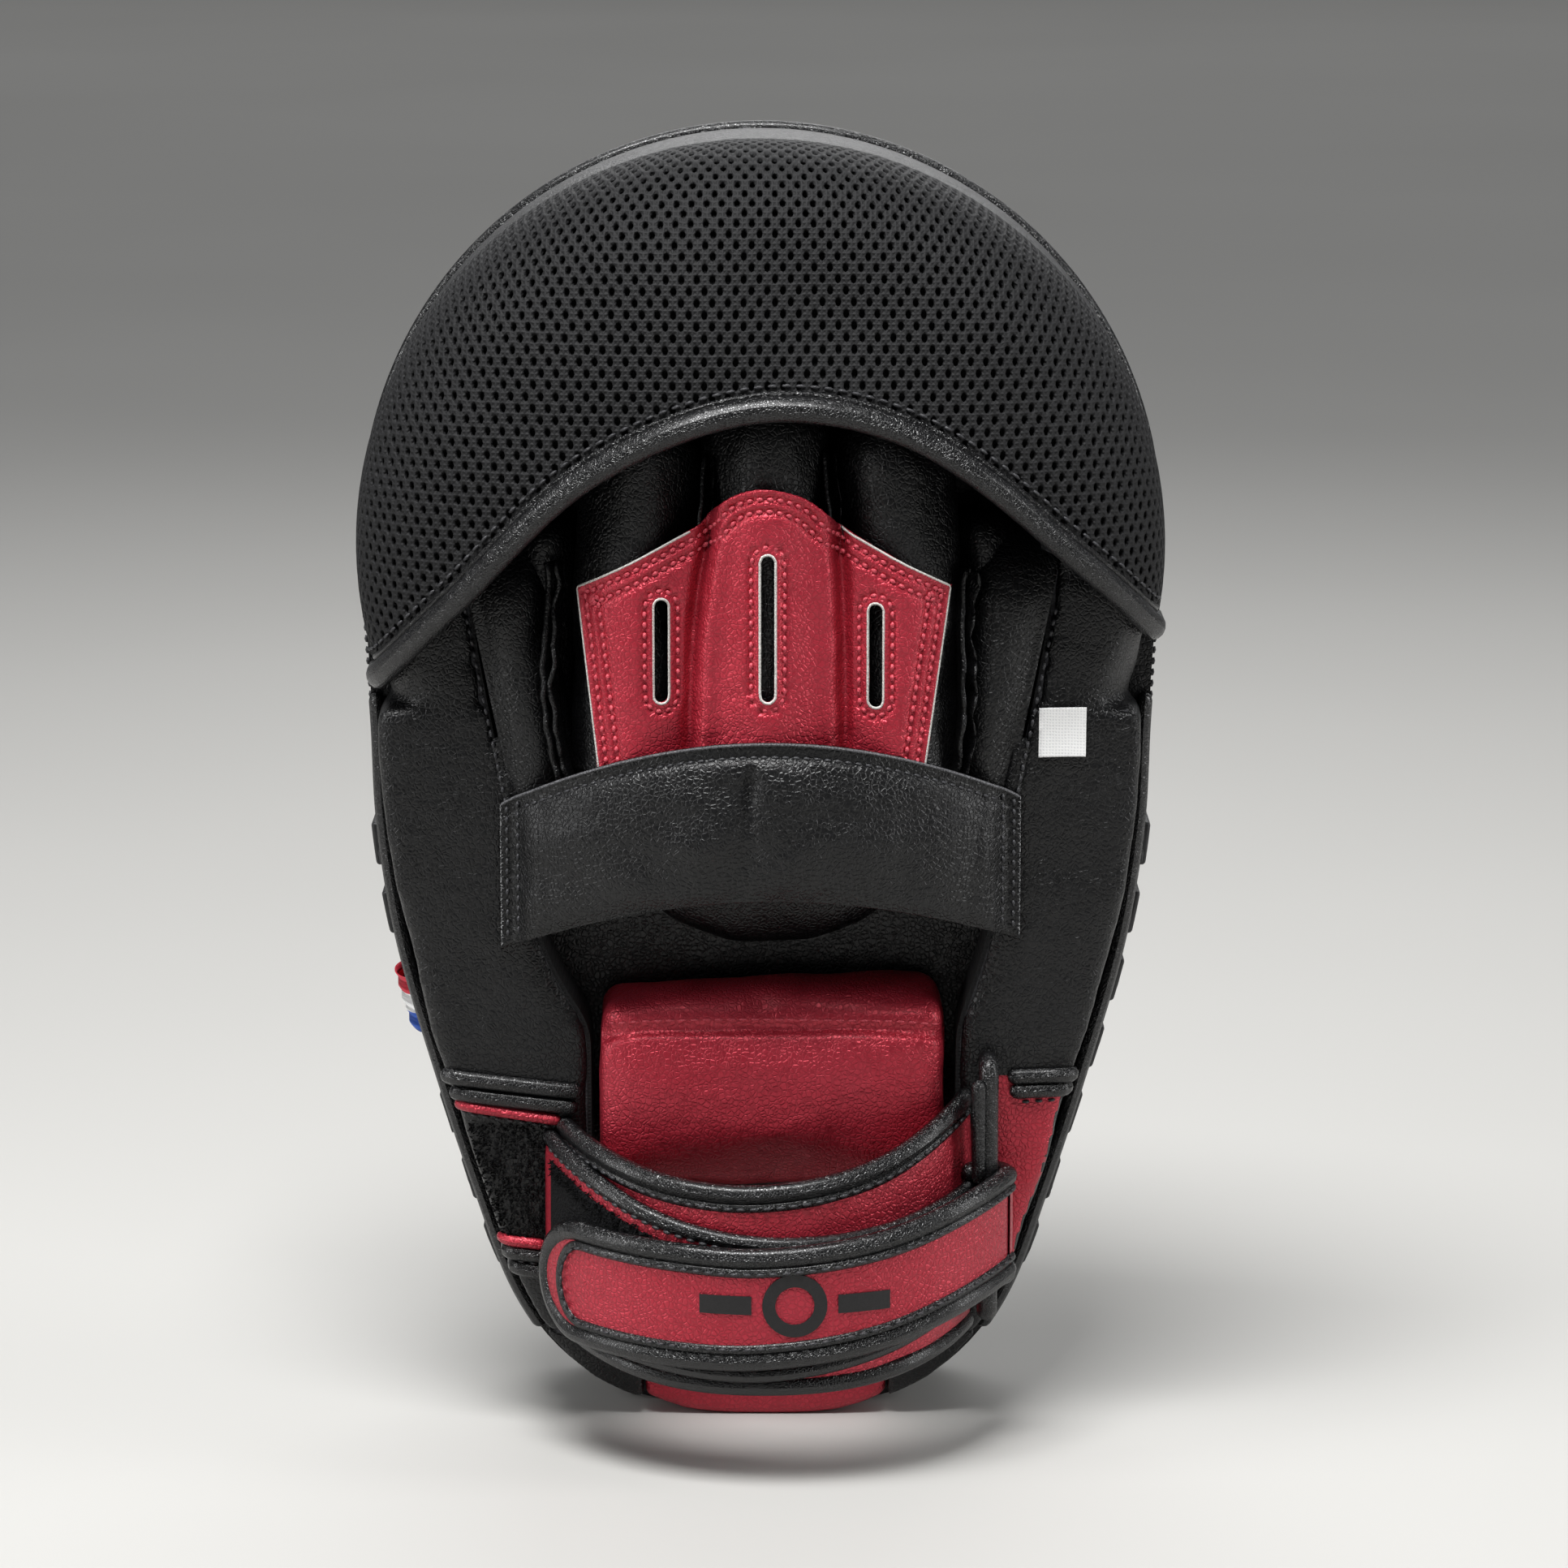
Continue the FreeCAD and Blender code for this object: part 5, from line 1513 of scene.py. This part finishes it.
class MITT_OT_strap(PieceOperator, bpy.types.Operator):
    """The strap's fold round the bar and its free run."""
    bl_idname = "mitt.strap"
    bl_label = "Strap"

    def build(self, context):
        away = from_axis(FLAP_AXIS)
        right = 62.5
        left = ring_degrees(FLAP_AXIS, FLAP_R, FLAP_END[0])
        span = (flap_top(FLAP_TOP[0][0]) - flap_foot(FLAP_FOOT[0][0])) / 2

        def strip(bm, middle, thick, inset, end_at=right):
            def place(u, v):
                turn = 2 * math.pi * v
                c, s = math.cos(turn), math.sin(turn)
                off = thick / 2 * math.copysign(abs(s) ** 0.45, s)
                side = math.copysign(abs(c) ** 0.25, c)
                a = left + (end_at - left) * u
                off *= 0.3 + 0.7 * min(1, (end_at - a) / 3)
                x = FLAP_AXIS[0] + middle * math.sin(math.radians(a))
                fit = max(FLAP_TOP[0][0], x)
                high, low = flap_top(fit) - inset, flap_foot(fit) + inset
                if x < FLAP_TOP[0][0]:
                    room = FLAP_TOP[0][0] - FLAP_END[0] - inset
                    t = min(1, (FLAP_TOP[0][0] - x) / room)
                    squeeze = math.sqrt(max(0, 1 - t * t))
                    mid = (high + low) / 2
                    high, low = mid + (high - mid) * squeeze, mid - (mid - low) * squeeze
                    x = max(x, FLAP_END[0] + inset)
                    a = ring_degrees(FLAP_AXIS, middle, x)
                z = (high + low) / 2 + (high - low) / 2 * side
                return ring_point(FLAP_AXIS, middle + off, a, z)

            skin(bm, 28, 150, place)
            weld(bm, 0.01)
            bmesh.ops.holes_fill(bm, edges=[e for e in bm.edges if len(e.link_faces) == 1], sides=0)
            bmesh.ops.recalc_face_normals(bm, faces=bm.faces)

        def border(radius, inset):
            """A line round the strap's free edge, from the bar along the top, round the end and back."""
            line = []
            for i in range(100):
                a = right + (ring_degrees(FLAP_AXIS, radius, FLAP_TOP[0][0]) - right) * i / 99
                x = FLAP_AXIS[0] + radius * math.sin(math.radians(a))
                line.append(ring_point(FLAP_AXIS, radius, a, flap_top(x) - inset))
            mid = (FLAP_TOP[0][1] + FLAP_FOOT[0][1]) / 2
            for i in range(1, 30):
                b = math.pi * i / 30
                x = FLAP_TOP[0][0] + (FLAP_END[0] - FLAP_TOP[0][0] + inset) * math.sin(b)
                z = mid + (span - inset) * math.cos(b)
                line.append(ring_point(FLAP_AXIS, radius, ring_degrees(FLAP_AXIS, radius, x), z))
            for i in range(100):
                a = ring_degrees(FLAP_AXIS, radius, FLAP_TOP[0][0])
                a += (right - a) * i / 99
                x = FLAP_AXIS[0] + radius * math.sin(math.radians(a))
                line.append(ring_point(FLAP_AXIS, radius, a, flap_foot(x) + inset))
            return line

        def bending(obj):
            """Bakes the piece's placement into its mesh."""
            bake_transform(obj)

        bm = bmesh.new()
        strip(bm, FLAP_R, 2.9, 2.2)
        run = make_object("strap_run", bm, MATERIALS["red"],
                          stands_for=["strap_flap", "strap_tip"], ride=False)
        bending(run)

        bm = bmesh.new()
        tube(bm, border(FLAP_R, 2.0), 2.5, flat=0.9, out=away, sides=14, spacing=1.2)
        tube(bm, border(FLAP_R + 1.2, 5.0), 1.2, flat=0.75, out=away, spacing=1.2)
        trim = make_object("strap_run_binding", bm, MATERIALS["binding"],
                           stands_for=["strap_flap_piping", "strap_tip_piping"], ride=False)
        bending(trim)
        bending(sew("strap_run_thread", [border(FLAP_R + 2.15, 5.2)], out=away, pitch=3.0, ride=False))

        bm = bmesh.new()
        strip(bm, FLAP_R - 1.75, 0.6, 5.0, 44)
        hooks = make_object("strap_run_hooks", bm, MATERIALS["hooks"],
                            stands_for=["strap_flap_hooks", "strap_tip_hooks"], ride=False)
        bending(hooks)
        dress("strap_emblem", "print")

        centre = Vector((BAR[0], BAR[1], 0))
        bar_ring = math.hypot(BAR[0] - WRIST[0], BAR[1] - WRIST[1])
        bar_at = ring_degrees(WRIST, bar_ring, BAR[0])
        red, black = bmesh.new(), bmesh.new()

        def lap(turn, reach_out, z):
            """A point of the half turn round the bar: turn runs from the inner run to the free run."""
            b = math.radians(bar_at + 180 * (1 - turn))
            return centre + Vector((math.sin(b) * reach_out, -math.cos(b) * reach_out, z))

        def place(u, v):
            a = 2 * math.pi * v
            off = 1.4 * math.copysign(abs(math.sin(a)) ** 0.45, math.sin(a))
            side = math.copysign(abs(math.cos(a)) ** 0.25, math.cos(a))
            low, high = 37.0 + (flap_foot(57.2) - 35.5) * u, 65.0 + (flap_top(57.2) - 66.5) * u
            return lap(-0.02 + 1.04 * u, 4.45 + off, (high + low) / 2 + (high - low) / 2 * side)

        skin(red, 24, 24, place)
        weld(red, 0.01)
        bmesh.ops.recalc_face_normals(red, faces=red.faces)
        for high in (True, False):
            last = flap_top(57.2) - 2.0 if high else flap_foot(57.2) + 2.0
            first = 66.3 if high else 36.0
            line = [lap(-0.02 + 1.12 * i / 22, 4.3,
                        first + (last - first) * min(1, i / 20)) for i in range(23)]
            tube(black, line, 2.4, out=lambda p: (Vector((p.x, p.y, 0)) - centre).normalized(), sides=12)
        for name, bm, key, slot in (("strap_fold", red, "red", "red_leather"),
                                    ("strap_fold_binding", black, "binding", "binding")):
            stands = ["strap_fold"] if name == "strap_fold" else []
            obj = make_object(name, bm, MATERIALS[key], stands_for=stands, ride=False)
            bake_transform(obj)


# ---------------------------------------------------------------- the stage

class MITT_OT_stage(PieceOperator, bpy.types.Operator):
    """A pale floor, soft studio light and the camera."""
    bl_idname = "mitt.stage"
    bl_label = "Stage"

    def build(self, context):
        scene = context.scene
        s, looks = scene.mitt_sizes, scene.mitt_looks
        material, tree, surface, place = start_material("pale_matt_floor", Roughness=0.7)
        tone = add(tree, "ShaderNodeTexNoise", {"Scale": 2.0}, {"Vector": place})
        shade = add(tree, "ShaderNodeMix", {"A": tuple(looks.floor), "B": srgb("#b7b6b3")}, data_type="RGBA")
        tree.links.new(tone.outputs["Fac"], shade.inputs["Factor"])
        tree.links.new(shade.outputs[2], surface.inputs["Base Color"])
        bm = bmesh.new()
        bmesh.ops.create_grid(bm, x_segments=1, y_segments=1, size=14.0)
        mesh = bpy.data.meshes.new("floor")
        bm.to_mesh(mesh)
        bm.free()
        mesh.materials.append(material)
        floor = bpy.data.objects.new("floor", mesh)
        scene.collection.objects.link(floor)

        world = bpy.data.worlds.new("soft_room")
        world.use_nodes = True
        world.node_tree.nodes["Background"].inputs["Color"].default_value = srgb("#cfd2d6")
        world.node_tree.nodes["Background"].inputs["Strength"].default_value = 0.13
        scene.world = world

        target = Vector((0, 0, 0.16))
        lamps = {
            "top_softbox": ((-0.15, -0.42, 1.3), 0.7, 0.45, 27.0),
            "left_softbox": ((-1.1, -0.35, 0.55), 0.35, 0.9, 6.0),
            "right_softbox": ((1.1, -0.15, 0.5), 0.3, 0.9, 6.0),
            "back_softbox": ((0.1, 1.0, 0.9), 1.0, 0.5, 5.0),
            "far_softbox": ((0.0, 4.0, 3.2), 6.0, 6.0, 60.0),
        }
        for name, (place_at, wide, tall, power) in lamps.items():
            light = bpy.data.lights.new(name, "AREA")
            light.shape, light.size, light.size_y, light.energy = "RECTANGLE", wide, tall, power
            lamp = bpy.data.objects.new(name, light)
            lamp.location = place_at
            lamp.rotation_euler = (target - Vector(place_at)).to_track_quat("-Z", "Y").to_euler()
            scene.collection.objects.link(lamp)

        data = bpy.data.cameras.new("camera")
        data.lens, data.sensor_width = s.lens, 36.0
        camera = bpy.data.objects.new("camera", data)
        aim = Vector((0.0055, 0.0, 0.155))
        back = Vector((0, -math.cos(s.lens_rise), math.sin(s.lens_rise)))
        camera.location = aim + back * s.lens_distance
        camera.rotation_euler = (-back).to_track_quat("-Z", "Y").to_euler()
        scene.collection.objects.link(camera)
        scene.camera = camera
        scene.view_settings.view_transform = "Standard"


PIECES = (MITT_OT_inside, MITT_OT_pad, MITT_OT_frame, MITT_OT_hood, MITT_OT_stalls, MITT_OT_patch,
          MITT_OT_knuckle_band, MITT_OT_palm, MITT_OT_wrist, MITT_OT_strap, MITT_OT_stage)


class MITT_PT_panel(bpy.types.Panel):
    """Lists the mitt's pieces in the sidebar."""
    bl_idname = "MITT_PT_panel"
    bl_label = "Focus mitt"
    bl_space_type = "VIEW_3D"
    bl_region_type = "UI"
    bl_category = "Mitt"

    def draw(self, context):
        for group in (context.scene.mitt_sizes, context.scene.mitt_looks):
            for key in group.bl_rna.properties.keys():
                if key not in ("rna_type", "name"):
                    self.layout.prop(group, key)
        for piece in PIECES:
            self.layout.operator(piece.bl_idname)


CLASSES = (MittSizes, MittLooks) + PIECES + (MITT_PT_panel,)


def register():
    for c in CLASSES:
        bpy.utils.register_class(c)
    bpy.types.Scene.mitt_sizes = PointerProperty(type=MittSizes)
    bpy.types.Scene.mitt_looks = PointerProperty(type=MittLooks)


def unregister():
    del bpy.types.Scene.mitt_looks
    del bpy.types.Scene.mitt_sizes
    for c in reversed(CLASSES):
        bpy.utils.unregister_class(c)


def main():
    register()
    make_materials(bpy.context.scene.mitt_looks)
    for piece in PIECES:
        getattr(bpy.ops.mitt, piece.bl_idname.split(".")[1])()


if __name__ == "__main__":
    main()
